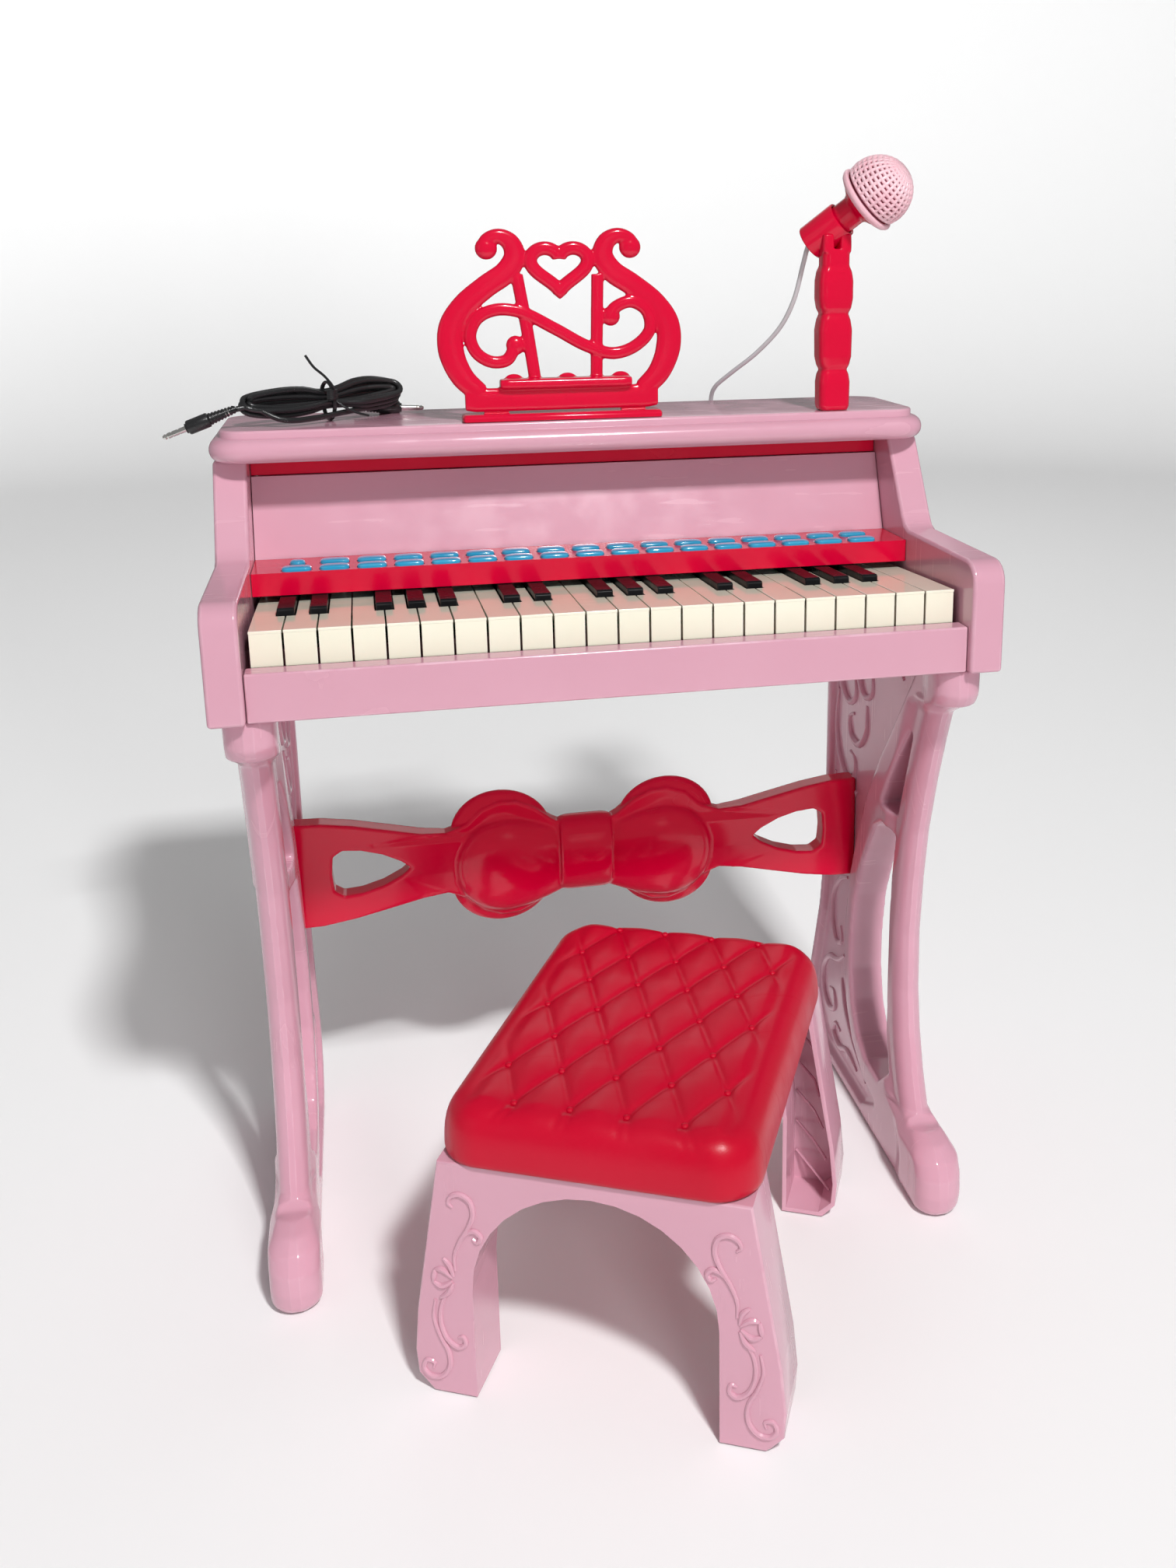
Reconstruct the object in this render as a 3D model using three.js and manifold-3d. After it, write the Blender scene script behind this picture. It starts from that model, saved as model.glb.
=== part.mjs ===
// Toy upright piano: a keyboard console on two scrolled side frames with a bow-shaped brace,
// a folding music rest, a microphone on a post, an audio lead and a two-frame stool.
// Millimetres. X runs to the player's right, Y away from the player, Z up.
// While the pieces are made, Y = 0 is the white keys' front and Z = 0 is the floor. At the end
// the whole toy is moved in Y, so that the origin is the middle of its footprint.

import * as THREE from 'three';
import { mergeVertices } from 'three/addons/utils/BufferGeometryUtils.js';
import Module from 'manifold-3d';

const wasm = await Module();
wasm.setup();

// ---------- driving dimensions ----------
const GAP = 0.3;                 // clearance between touching pieces
const KEY_PITCH = 18;            // width of one white key with its gap
const WHITE_KEYS = 22;           // three octaves and the closing C
const KEY_TOP = 410.2;           // top of a white key at its front edge
const KEY_SLOPE = 0.06;          // fall of the keys towards the back, mm per mm
const KEY_LENGTH = 158;
const PIVOT_Y = 150;             // where a key bends down, just on the rail under it
const BLACK_FRONT = 42.8;        // front foot of a black key
const BLACK_RISE = 4;            // height of a black key over a white one
const BLACK_WIDTH = 9.4;

const CONSOLE_HALF = 220;        // outer face of a cheek
const CHEEK = 19.5;              // cheek thickness
const CONSOLE_BOTTOM = 364.5;
const CONSOLE_TOP = 484;
const CONSOLE_BACK = 203.5;
const CHEEK_FRONT = -21;
const ARM_TOP = 429.5;
const PANEL_FRONT = 85;          // front of the control panel
const PANEL_TOP = 423;
const PANEL_BACK = 126.4;
const SHELF = 2.5;               // wall of the moulded covers

const LID_HALF = 221;
const LID_FRONT = 101;
const LID_BACK = 207;
const LID_TOP = 503;

const LEG_INNER = 188;           // inner face of a side frame
const LEG_THICK = 25;
const LEG_TOP = CONSOLE_BOTTOM - GAP;

const REST_CENTRE = -11.6;       // middle of the music rest in X
const REST_AXIS = [118, 510];    // hinge axis of the music rest in Y and Z
const REST_THICK = 6;

const MIC_TAIL = [150.4, 129.4, 606.7];
const MIC_AXIS = new THREE.Vector3(11, -9, 10).normalize();
const MIC_HEAD_AT = 51;          // from the tail to the middle of the head
const MIC_HEAD_R = 21.3;
const POST_CENTRE = [160.5, 118];

const STOOL_CENTRE = [8, -24];
const STOOL_TURN = -26;          // degrees about Z
const SEAT_BOTTOM = 143;
const SEAT_TOP = 175.5;
const FRAME_DEPTH = 36;
const FRAME_FACE = 114.7;        // outer face of a stool frame from the stool's middle
const FRAME_FOOT = 102;          // half width of a stool frame at the floor
const FRAME_HEAD = 84;           // half width under the seat
const ARCH_HALF = 67;

// ---------- finishes ----------
const finish = (color, roughness, metalness = 0) =>
  new THREE.MeshStandardMaterial({ color, roughness, metalness });
const palePink = finish(0xe3a9c4, 0.25);
const hotPink = finish(0xd0063c, 0.2);
const seatPink = finish(0xc4042f, 0.55);
const ivory = finish(0xf1ead6, 0.35);
const gloss = finish(0x0c0c0d, 0.15);
const cyan = finish(0x1d9bcf, 0.2);
const board = finish(0x1d6b3a, 0.5);
const darkPlastic = finish(0x1a1a1c, 0.45);
const cordWhite = finish(0xcfcfcf, 0.4);
const palestPink = finish(0xf3b7c8, 0.35);

const piano = new THREE.Group();
const add = (name, geometry, material, parent = piano) => {
  const mesh = new THREE.Mesh(geometry, material);
  mesh.name = name;
  parent.add(mesh);
  return mesh;
};

// ---------- solids ----------
function solid(geometry) {
  const bare = new THREE.BufferGeometry();
  bare.setAttribute('position', geometry.getAttribute('position').clone());
  if (geometry.index) bare.setIndex(geometry.index.clone());
  const merged = mergeVertices(bare, 1e-4);
  return new wasm.Manifold(new wasm.Mesh({
    numProp: 3,
    vertProperties: new Float32Array(merged.attributes.position.array),
    triVerts: new Uint32Array(merged.index.array),
  }));
}

function shell(body) {
  const mesh = body.getMesh();
  const geometry = new THREE.BufferGeometry();
  geometry.setAttribute('position', new THREE.BufferAttribute(mesh.vertProperties, 3));
  geometry.setIndex(new THREE.BufferAttribute(mesh.triVerts, 1));
  return geometry;
}

const join = (...parts) => shell(parts.map(solid).reduce((all, one) => all.add(one)));
const cut = (base, ...tools) =>
  shell(tools.map(solid).reduce((rest, tool) => rest.subtract(tool), solid(base)));

// A flat outline; it runs anticlockwise and its holes clockwise, whichever way they are given.
function outline(points, holes = []) {
  const loop = (list, clockwise) => {
    const corners = list.map(([a, b]) => new THREE.Vector2(a, b));
    return THREE.ShapeUtils.isClockWise(corners) === clockwise ? corners : corners.reverse();
  };
  const shape = new THREE.Shape(loop(points, false));
  shape.holes = holes.map((hole) => new THREE.Path(loop(hole, true)));
  return shape;
}

const extrude = (points, depth, holes) =>
  new THREE.ExtrudeGeometry(outline(points, holes), { depth, bevelEnabled: false, steps: 1 });

// An outline in (y, z) thickened from x0 to x1.
function slabX(points, x0, x1, holes) {
  const turn = new THREE.Matrix4().set(0, 0, 1, x0, 1, 0, 0, 0, 0, 1, 0, 0, 0, 0, 0, 1);
  return extrude(points, x1 - x0, holes).applyMatrix4(turn);
}

// An outline in (x, z) thickened from y0 to y1.
function slabY(points, y0, y1, holes) {
  return extrude(points, y1 - y0, holes).rotateX(Math.PI / 2).translate(0, y1, 0);
}

// An outline in (x, y) thickened from z0 to z1.
const slabZ = (points, z0, z1, holes) => extrude(points, z1 - z0, holes).translate(0, 0, z0);

const block = (x0, x1, y0, y1, z0, z1) =>
  new THREE.BoxGeometry(x1 - x0, y1 - y0, z1 - z0)
    .translate((x0 + x1) / 2, (y0 + y1) / 2, (z0 + z1) / 2);

// A rectangle with round corners, as a list of [a, b] points about its middle.
function roundRect(halfA, halfB, radius, steps = 4) {
  const points = [];
  const corners = [[1, 1, 0], [-1, 1, 90], [-1, -1, 180], [1, -1, 270]];
  for (const [sa, sb, start] of corners) {
    for (let i = 0; i <= steps; i += 1) {
      const angle = THREE.MathUtils.degToRad(start + (90 * i) / steps);
      points.push([
        sa * (halfA - radius) + radius * Math.cos(angle),
        sb * (halfB - radius) + radius * Math.sin(angle),
      ]);
    }
  }
  return points;
}

// A closed body through rings of [x, y] points, each ring at its own height.
function loft(levels) {
  const count = levels[0].points.length;
  const vertices = levels.flatMap(({ points, z }) => points.flatMap(([x, y]) => [x, y, z]));
  const faces = [];
  for (let level = 0; level < levels.length - 1; level += 1) {
    for (let i = 0; i < count; i += 1) {
      const a = level * count + i;
      const b = level * count + ((i + 1) % count);
      faces.push(a, b, b + count, a, b + count, a + count);
    }
  }
  const flat = levels[0].points.map(([x, y]) => new THREE.Vector2(x, y));
  const top = (levels.length - 1) * count;
  for (const [a, b, c] of THREE.ShapeUtils.triangulateShape(flat, [])) {
    faces.push(c, b, a, top + a, top + b, top + c);
  }
  const geometry = new THREE.BufferGeometry();
  geometry.setAttribute('position', new THREE.Float32BufferAttribute(vertices, 3));
  geometry.setIndex(faces);
  return geometry;
}

// A turned body about Z from [radius, height] points that start and end on the axis.
const turned = (profile, segments = 20) =>
  new THREE.LatheGeometry(profile.map(([r, h]) => new THREE.Vector2(r, h)), segments)
    .rotateX(Math.PI / 2);

// Moves a body made about +Z so that its foot is at a point and its axis along a direction.
function aim(geometry, from, direction) {
  const turn = new THREE.Quaternion().setFromUnitVectors(new THREE.Vector3(0, 0, 1), direction);
  return geometry.applyQuaternion(turn).translate(...from);
}

// A flat band of changing width about a smooth line in (x, z), thickened in Y.
function band(line, widths, y0, y1, steps = 28) {
  const curve = new THREE.CatmullRomCurve3(line.map(([x, z]) => new THREE.Vector3(x, 0, z)));
  const width = new THREE.CatmullRomCurve3(
    widths.map((w, i) => new THREE.Vector3(i / (widths.length - 1), w, 0)));
  const left = [];
  const right = [];
  for (let i = 0; i <= steps; i += 1) {
    const at = curve.getPoint(i / steps);
    const along = curve.getTangent(i / steps);
    const half = width.getPoint(i / steps).y / 2;
    left.push([at.x - along.z * half, at.z + along.x * half]);
    right.unshift([at.x + along.z * half, at.z - along.x * half]);
  }
  return slabY([...right, ...left], y0, y1);
}

const disc = (x, z, radius, y0, y1, segments = 16) =>
  new THREE.CylinderGeometry(radius, radius, y1 - y0, segments).translate(x, (y0 + y1) / 2, z);

const mirrorPoints = (points) => points.map(([x, z]) => [-x, z]).reverse();

// ---------- console ----------
// A cheek is the whole side of the console: the low arm beside the keys with its rounded
// front, then the pillar that leans back to carry the lid.
const ARM_CORNER = 13;
const cheekOutline = [
  [CHEEK_FRONT, CONSOLE_BOTTOM], [CONSOLE_BACK, CONSOLE_BOTTOM], [CONSOLE_BACK, CONSOLE_TOP],
  [124, CONSOLE_TOP], [94, 437], [90, 432], [84, ARM_TOP],
  ...[0, 1, 2, 3, 4, 5].map((i) => {
    const angle = THREE.MathUtils.degToRad(90 + 18 * i);
    return [
      CHEEK_FRONT + ARM_CORNER + ARM_CORNER * Math.cos(angle),
      ARM_TOP - ARM_CORNER + ARM_CORNER * Math.sin(angle),
    ];
  }),
];
add('cheek_left', slabX(cheekOutline, -CONSOLE_HALF, CHEEK - CONSOLE_HALF), palePink);
add('cheek_right', slabX(cheekOutline, CONSOLE_HALF - CHEEK, CONSOLE_HALF), palePink);
const INSIDE = CONSOLE_HALF - CHEEK - GAP;   // half width of what sits between the cheeks

// The key slip is the board along the front, below the keys.
const SLIP_BACK = -3;
add('key_slip', block(-INSIDE, INSIDE, -16, SLIP_BACK, CONSOLE_BOTTOM, 391.5), palePink);

// The bottom tray closes the console and carries the rail on which the keys bend.
const TRAY_TOP = 367.7;
const RAIL_TOP = KEY_TOP - 5 - KEY_SLOPE * 165 - GAP;
add('bottom_tray', join(
  block(-INSIDE, INSIDE, SLIP_BACK + GAP, 199.9, CONSOLE_BOTTOM, TRAY_TOP),
  block(-INSIDE, INSIDE, PIVOT_Y - 0.2, 168, TRAY_TOP - 1, RAIL_TOP),
  block(-INSIDE, INSIDE, 78, 82, TRAY_TOP - 1, 379),
), palePink);

// The back cover fits between the cheeks, with a grille for the speaker, a window for the
// battery door and a hole for the microphone's plug.
const SPEAKER = [110, 428];
const DOOR = { x0: -150, x1: -50, z0: 384, z1: 456 };
const SOCKET = [20, 440];
const grille = [-2, -1, 0, 1, 2].map((i) => {
  const half = Math.sqrt(26 * 26 - (9 * i) ** 2);
  return block(SPEAKER[0] - half, SPEAKER[0] + half, 190, 210,
    SPEAKER[1] + 9 * i - 1.6, SPEAKER[1] + 9 * i + 1.6);
});
add('back_cover', cut(
  block(-INSIDE, INSIDE, 200.2, CONSOLE_BACK - 0.3, CONSOLE_BOTTOM, CONSOLE_TOP - GAP),
  ...grille,
  block(DOOR.x0, DOOR.x1, 190, 210, DOOR.z0, DOOR.z1),
  disc(SOCKET[0], SOCKET[1], 3.2, 190, 210, 12),
), palePink);
add('battery_door', join(
  block(DOOR.x0 + GAP, DOOR.x1 - GAP, 200.2, 203.2, DOOR.z0 + GAP, DOOR.z1 - GAP),
  block(-106, -94, 203, 204.4, 448, 451),
), palePink);
add('battery_box', cut(
  block(-148, -52, 170, 199.6, 386, 454),
  block(-145.5, -54.5, 173, 201, 388.5, 451.5),
), darkPlastic);
add('speaker', aim(turned([
  [0, 0], [13, 0], [13, 9], [16, 11], [27, 19], [29, 19], [29, 21.5], [25, 21.5], [8, 13], [0, 14],
], 24), [SPEAKER[0], 178, SPEAKER[1]], new THREE.Vector3(0, 1, 0)), darkPlastic);

// The circuit board lies under the keys, with the keys' rubber contact strip along it.
add('circuit_board', join(
  block(-190, 190, 84, 140, 380.2, 381.8),
  block(-186, 186, 90, 110, 381.6, 384),
  block(-186, 186, 97, 103, 383.8, 392),
  block(-20, 12, 114, 130, 381.6, 384.4),
  block(60, 72, 116, 128, 381.6, 387),
  block(-90, -74, 118, 128, 381.6, 386),
), board);

// The control panel is an angle: a front face over the keys and a shelf for the buttons.
const BUTTONS = 17;
const BUTTON_PITCH = 21.7;
const BUTTON_FIRST = -174.6;
const FRONT_ROW_Y = 91.2;
const REAR_ROW_Y = 108.6;
const BUTTON_TOP = 425.6;
const buttonX = (i) => BUTTON_FIRST + BUTTON_PITCH * i;
const placed = (points, x, y) => points.map(([a, b]) => [x + a, y + b]);
const buttonHole = roundRect(8.9, 4.9, 3.2, 1);
const holes = [];
for (let i = 0; i < BUTTONS; i += 1) {
  holes.push(placed(buttonHole, buttonX(i), FRONT_ROW_Y));
  if (i > 0) holes.push(placed(buttonHole, buttonX(i), REAR_ROW_Y));
}
holes.push(placed(roundRect(5, 5, 4.9, 3), buttonX(0), REAR_ROW_Y));
const PANEL_FOOT = 409.6;
const frontLip = block(-INSIDE, INSIDE, PANEL_FRONT, PANEL_FRONT + 1.2, PANEL_FOOT, PANEL_TOP);
const shelf = slabZ([
  [-INSIDE, PANEL_FRONT], [INSIDE, PANEL_FRONT], [INSIDE, PANEL_BACK], [-INSIDE, PANEL_BACK],
], PANEL_TOP - SHELF, PANEL_TOP, holes);
add('control_panel', join(frontLip, shelf), hotPink);

// A row of buttons is one moulding: a strip under the shelf with a cap through each hole.
function buttonRow(first, y) {
  const strip = block(buttonX(first) - 8, buttonX(BUTTONS - 1) + 8, y - 4, y + 4, 416, 417.6);
  const caps = [];
  for (let i = first; i < BUTTONS; i += 1) {
    const at = (inset) => placed(roundRect(8.5 - inset, 4.5 - inset, 2.8, 1), buttonX(i), y);
    caps.push(loft([
      { points: at(0), z: 417 }, { points: at(0), z: BUTTON_TOP - 1.4 },
      { points: at(1.2), z: BUTTON_TOP },
    ]));
  }
  return join(strip, ...caps);
}
add('front_button_row', buttonRow(0, FRONT_ROW_Y), cyan);
add('rear_button_row', buttonRow(1, REAR_ROW_Y), cyan);
add('power_button', turned([
  [0, 416], [4.5, 416], [4.5, BUTTON_TOP - 1], [3.2, BUTTON_TOP], [0, BUTTON_TOP],
], 16).translate(buttonX(0), REAR_ROW_Y, 0), cyan);

// The fallboard leans back over the controls, with a dark pink rail between it and the lid.
const FALL_LEAN = 0.374;
const fallY = (z) => PANEL_BACK + GAP + FALL_LEAN * (z - 421.5);
add('fallboard', slabX([
  [fallY(421.5), 421.5], [fallY(421.5) + SHELF, 421.5], [fallY(471) + SHELF, 471], [fallY(471), 471],
], -INSIDE, INSIDE), palePink);
add('upper_rail', block(-INSIDE, INSIDE, 148, 152, 471.3, CONSOLE_TOP - GAP), hotPink);

// The lid: a bullnose slab with a smaller step on top, round at its corners.
const lidRing = (inset, z) => ({
  points: roundRect(
    LID_HALF - inset, (LID_BACK - LID_FRONT) / 2 - inset, 20 - inset * 0.6, 5,
  ).map(([x, y]) => [x, y + (LID_BACK + LID_FRONT) / 2]),
  z,
});
add('lid', loft([
  lidRing(5.5, CONSOLE_TOP + GAP), lidRing(1.6, 486.4), lidRing(0, 491), lidRing(1.4, 495.6),
  lidRing(5, 498), lidRing(6, 498.4), lidRing(6, 501.6), lidRing(7.2, LID_TOP),
]), palePink);

// ---------- keys ----------
// Keys lie on a slope: a shear in Z turns level mouldings into sloping ones.
const slope = new THREE.Matrix4().set(1, 0, 0, 0, 0, 1, 0, 0, 0, -KEY_SLOPE, 1, 0, 0, 0, 0, 1);
const boundaryX = (i) => (i - WHITE_KEYS / 2) * KEY_PITCH;
const hasBlack = (boundary) =>
  boundary > 0 && boundary < WHITE_KEYS && [1, 2, 4, 5, 6].includes(boundary % 7);
const KEY_SIDE = 0.4;
const NOTCH = BLACK_WIDTH / 2 + 0.7;

for (let i = 0; i < WHITE_KEYS; i += 1) {
  const left = boundaryX(i) + KEY_SIDE;
  const right = boundaryX(i + 1) - KEY_SIDE;
  const notchLeft = hasBlack(i) ? boundaryX(i) + NOTCH : left;
  const notchRight = hasBlack(i + 1) ? boundaryX(i + 1) - NOTCH : right;
  const notchY = BLACK_FRONT - 0.8;
  const plan = [
    [left, 0], [right, 0], [right, notchY], [notchRight, notchY], [notchRight, KEY_LENGTH],
    [notchLeft, KEY_LENGTH], [notchLeft, notchY], [left, notchY],
  ].filter(([x, y], n, all) => n === 0 || x !== all[n - 1][0] || y !== all[n - 1][1]);
  const key = join(
    slabZ(plan, KEY_TOP - 5, KEY_TOP),
    block(left, right, 0, 3, KEY_TOP - 20, KEY_TOP - 4),
  ).applyMatrix4(slope);
  add(`white_key_${String(i + 1).padStart(2, '0')}`, key, ivory);
}

// The black keys of one group are a single comb, joined behind the white keys.
const blackGroups = [[1, 2], [4, 5, 6], [8, 9], [11, 12, 13], [15, 16], [18, 19, 20]];
const blackProfile = [
  [BLACK_FRONT, KEY_TOP - 5], [165, KEY_TOP - 5], [165, KEY_TOP - 2], [140, KEY_TOP + BLACK_RISE],
  [BLACK_FRONT + 2.2, KEY_TOP + BLACK_RISE], [BLACK_FRONT + 0.8, KEY_TOP + BLACK_RISE - 1],
];
blackGroups.forEach((group, n) => {
  const sticks = group.map((boundary) => slabX(
    blackProfile, boundaryX(boundary) - BLACK_WIDTH / 2, boundaryX(boundary) + BLACK_WIDTH / 2,
  ));
  const bar = block(
    boundaryX(group[0]) - BLACK_WIDTH / 2, boundaryX(group.at(-1)) + BLACK_WIDTH / 2,
    159, 165, KEY_TOP - 5, KEY_TOP - 2,
  );
  add(`black_keys_${n + 1}`, join(...sticks, bar).applyMatrix4(slope), gloss);
});

// ---------- side frames and brace ----------
// A side frame: a curved front post on a round toe, a long arc behind it that sweeps down to
// the toe, a flat foot rail and a rear panel that flares out at the heel.
const legOutline = [
  [-10, 0], [196, 0], [214, 6], [228, 20], [234, 40], [231, 62], [222, 88], [212, 118], [206, 150],
  [202, 200], [200, LEG_TOP], [-13, LEG_TOP], [-13, 348], [-9, 341], [2, 337], [12, 331], [20, 312],
  [33, 277], [44, 240], [50, 205], [54, 165], [53, 125], [48, 96], [40, 70], [30, 48], [24, 44],
  [12, 46], [0, 43], [-9, 36], [-14, 26], [-15, 14], [-13, 4],
];
const legOpening = [
  [62, 60], [70, 88], [73, 125], [73, 165], [70, 205], [65, 232], [84, 234], [97, 226], [109, 208],
  [123, 184], [134, 158], [139, 130], [140, 100], [134, 74], [122, 56], [104, 46], [78, 45],
];
// The upper corner between post and arc and the panel behind the arc are thinner than the rest.
const upperPocket = [[38, 318], [52, 278], [63, 246], [86, 246], [76, 264], [58, 290]];
const rearPocket = [
  [30, 355], [60, 316], [90, 278], [113, 244], [130, 210], [144, 172], [152, 132], [152, 96],
  [146, 68], [132, 46], [108, 30], [80, 24], [110, 8], [194, 8], [210, 14], [221, 26], [226, 41],
  [223, 60], [214, 86], [204, 116], [198, 150], [194, 200], [192, 355],
];
function sideFrame(side) {
  const x = (near, far) => (side > 0 ? [near, far] : [-far, -near]);
  const panelFace = LEG_INNER + 5;
  return cut(
    slabX(legOutline, ...x(LEG_INNER, LEG_INNER + LEG_THICK), [legOpening]),
    slabX(upperPocket, ...x(LEG_INNER - 1, LEG_INNER + 18)),
    slabX(rearPocket, ...x(LEG_INNER - 1, panelFace)),
  );
}
add('leg_left', sideFrame(-1), palePink);
add('leg_right', sideFrame(1), palePink);

// The bow brace joins the two rear panels.
const BRACE_HALF = LEG_INNER + 5 - GAP;
const BRACE_Z = 205;
const bowHalf = [
  [17, 26], [22, 29], [34, 40], [46, 46.5], [58, 47], [70, 42], [80, 31], [87, 24], [94, 21.5],
  [110, 23], [130, 27.5], [155, 33], [175, 36], [BRACE_HALF, 36.5],
];
const bowTop = [...mirrorPoints(bowHalf), ...bowHalf];
const bowOutline = [...bowTop, ...bowTop.map(([x, z]) => [x, -z]).reverse()]
  .map(([x, z]) => [x, z + BRACE_Z]);
const bowHole = [
  [118, 0], [124, 5], [136, 11], [150, 15], [162, 16], [168, 12], [169, 0], [168, -12], [162, -16],
  [150, -15], [136, -11], [124, -5],
];
const bowHoles = [bowHole, mirrorPoints(bowHole)].map((hole) =>
  hole.map(([x, z]) => [x, z + BRACE_Z]));
add('bow_brace', slabY(bowOutline, 146, 162, bowHoles), hotPink);

// ---------- music rest ----------
const [REST_Y, REST_Z] = REST_AXIS;
const LUGS = [-52, 32];
const lug = (x) => [
  new THREE.CylinderGeometry(2.8, 2.8, 15, 12).rotateZ(Math.PI / 2).translate(x, REST_Y, REST_Z),
  block(x - 7.5, x + 7.5, REST_Y - 2.8, REST_Y + 2.8, 506, REST_Z),
];
add('music_rest_base', join(
  loft([
    { points: placed(roundRect(61, 9.5, 3, 2), REST_CENTRE, 118.5), z: LID_TOP + GAP },
    { points: placed(roundRect(61, 9.5, 3, 2), REST_CENTRE, 118.5), z: 506 },
    { points: placed(roundRect(59.5, 8, 2, 2), REST_CENTRE, 118.5), z: 507.6 },
  ]),
  ...LUGS.flatMap(lug),
), hotPink);

// The rest itself: an open scrolled frame. Its points are about its middle and the lid's top.
const restBack = REST_Y + 1.5;
const restFront = restBack - REST_THICK;
const onRest = (points) => points.map(([x, z]) => [x + REST_CENTRE, z + LID_TOP]);
const side = [
  [-50, 17], [-60, 27], [-66, 42], [-65.5, 56], [-58, 68], [-44, 79.5], [-31.5, 88], [-26.3, 97],
  [-29, 105], [-36.5, 108.5], [-43.5, 105],
];
const sideWidths = [12, 14, 15.5, 15, 14, 13.5, 13.5, 13, 11, 8, 8];
const curlEnds = [[-43.5, 101, 7], [43.5, 101, 7], [-27.5, 45, 6.2], [30.5, 61, 6.2]];
const mirrored = (line) => line.map(([x, z]) => [-x, z]);
const scroll = [
  [-29, 42], [-33, 36.5], [-42, 35.5], [-51, 41], [-54.5, 51], [-50, 61], [-39, 66], [-24, 64.5],
  [-4, 54.5], [16, 43.5], [32, 39], [46, 43.5], [54.5, 53], [52.5, 64], [43, 69.5], [33, 66], [29, 61],
];
const heart = (halfWidth, stretch) => {
  const points = [];
  for (let i = 0; i < 32; i += 1) {
    const t = (i / 32) * 2 * Math.PI;
    const x = Math.sin(t) ** 3;
    const z = (13 * Math.cos(t) - 5 * Math.cos(2 * t) - 2 * Math.cos(3 * t) - Math.cos(4 * t)) / 16;
    points.push([x * halfWidth, 90.6 + z * halfWidth * stretch]);
  }
  return points;
};
const bar = (x0, x1, z0, z1, y0 = restFront, y1 = restBack) =>
  block(x0 + REST_CENTRE, x1 + REST_CENTRE, y0, y1, z0 + LID_TOP, z1 + LID_TOP);
const frameBody = join(
  band(onRest(side), sideWidths, restFront, restBack),
  band(onRest(mirrored(side)).reverse(), [...sideWidths].reverse(), restFront, restBack),
  ...curlEnds.map(([x, z, r]) => disc(x + REST_CENTRE, z + LID_TOP, r, restFront, restBack)),
  band(onRest(scroll), [7, 7.5, 7, 7.5, 7], restFront + 0.7, restBack, 44),
  band(onRest([[-25.5, 84], [-20.5, 55], [-15.5, 20]]), [7.5, 7.5, 7.5], restFront + 1, restBack, 4),
  band(onRest([[23, 84], [22, 55], [21, 20]]), [7.5, 7.5, 7.5], restFront + 1, restBack, 4),
  slabY(onRest(heart(21.6, 0.88)), restFront, restBack),
  bar(-59, 59, 5.8, 20),
  bar(-38, 42, 19, 25.6, restFront - 6, restBack),
  ...[-29.3, 3.3, 36].map((x) =>
    disc(x + REST_CENTRE, 25.6 + LID_TOP, 5.6, restFront + 1, restBack, 14)),
);
const notches = LUGS.map((x) => block(x - 8, x + 8, REST_Y - 8, REST_Y + 8, 500, 515.6));
add('music_rest', cut(
  frameBody,
  slabY(onRest(heart(13, 0.72)), restFront - 5, restBack + 5),
  ...notches,
), hotPink);

// ---------- microphone and its post ----------
const onMic = (distance) =>
  new THREE.Vector3(...MIC_TAIL).addScaledVector(MIC_AXIS, distance).toArray();
const [POST_X, POST_Y] = POST_CENTRE;
const postRing = (halfX, halfY, z) => ({
  points: placed(roundRect(halfX, halfY, 3, 2), POST_X, POST_Y), z,
});
const sleeve = aim(turned([[0, 0], [11.4, 0], [11.4, 25], [0, 25]], 20), onMic(-2), MIC_AXIS);
const bore = aim(turned([[0, 0], [9.7, 0], [9.7, 40], [0, 40]], 20), onMic(-8), MIC_AXIS);
add('mic_post', cut(
  join(
    loft([
      postRing(9, 7.5, LID_TOP + GAP), postRing(9.6, 8, 510), postRing(9.4, 8, 524),
      postRing(8.4, 7.2, 527.5), postRing(9.6, 8, 534), postRing(10.6, 8.4, 545),
      postRing(11, 8.6, 565), postRing(10.6, 8.4, 582), postRing(9, 7.4, 588), postRing(9, 7.4, 608),
    ]),
    sleeve,
  ),
  bore,
  block(POST_X + 0.5, POST_X + 2.3, POST_Y - 12, POST_Y + 2, 592, 603.5),
), hotPink);

add('mic_body', aim(turned([
  [0, 0], [7.5, 0], [8.6, 1.4], [9.2, 12], [9.2, 32], [10.5, 34], [17.5, 37.5], [21.4, 40.5],
  [21.8, 42], [21.4, 43.2], [0, 43.2],
], 22), onMic(0), MIC_AXIS), hotPink);
// The grille is a ball cut flat where it sits in the collar.
const GRILLE_FOOT = 43.5;
const grilleProfile = [[0, GRILLE_FOOT]];
const GRILLE_STEPS = 10;
for (let i = 0; i <= GRILLE_STEPS; i += 1) {
  const start = Math.acos((GRILLE_FOOT - MIC_HEAD_AT) / MIC_HEAD_R);
  const angle = start * (1 - i / GRILLE_STEPS);
  const radius = i === GRILLE_STEPS ? 0 : MIC_HEAD_R * Math.sin(angle);
  grilleProfile.push([radius, MIC_HEAD_AT + MIC_HEAD_R * Math.cos(angle)]);
}
add('mic_grille', aim(turned(grilleProfile, 22), onMic(0), MIC_AXIS), palestPink);

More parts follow.
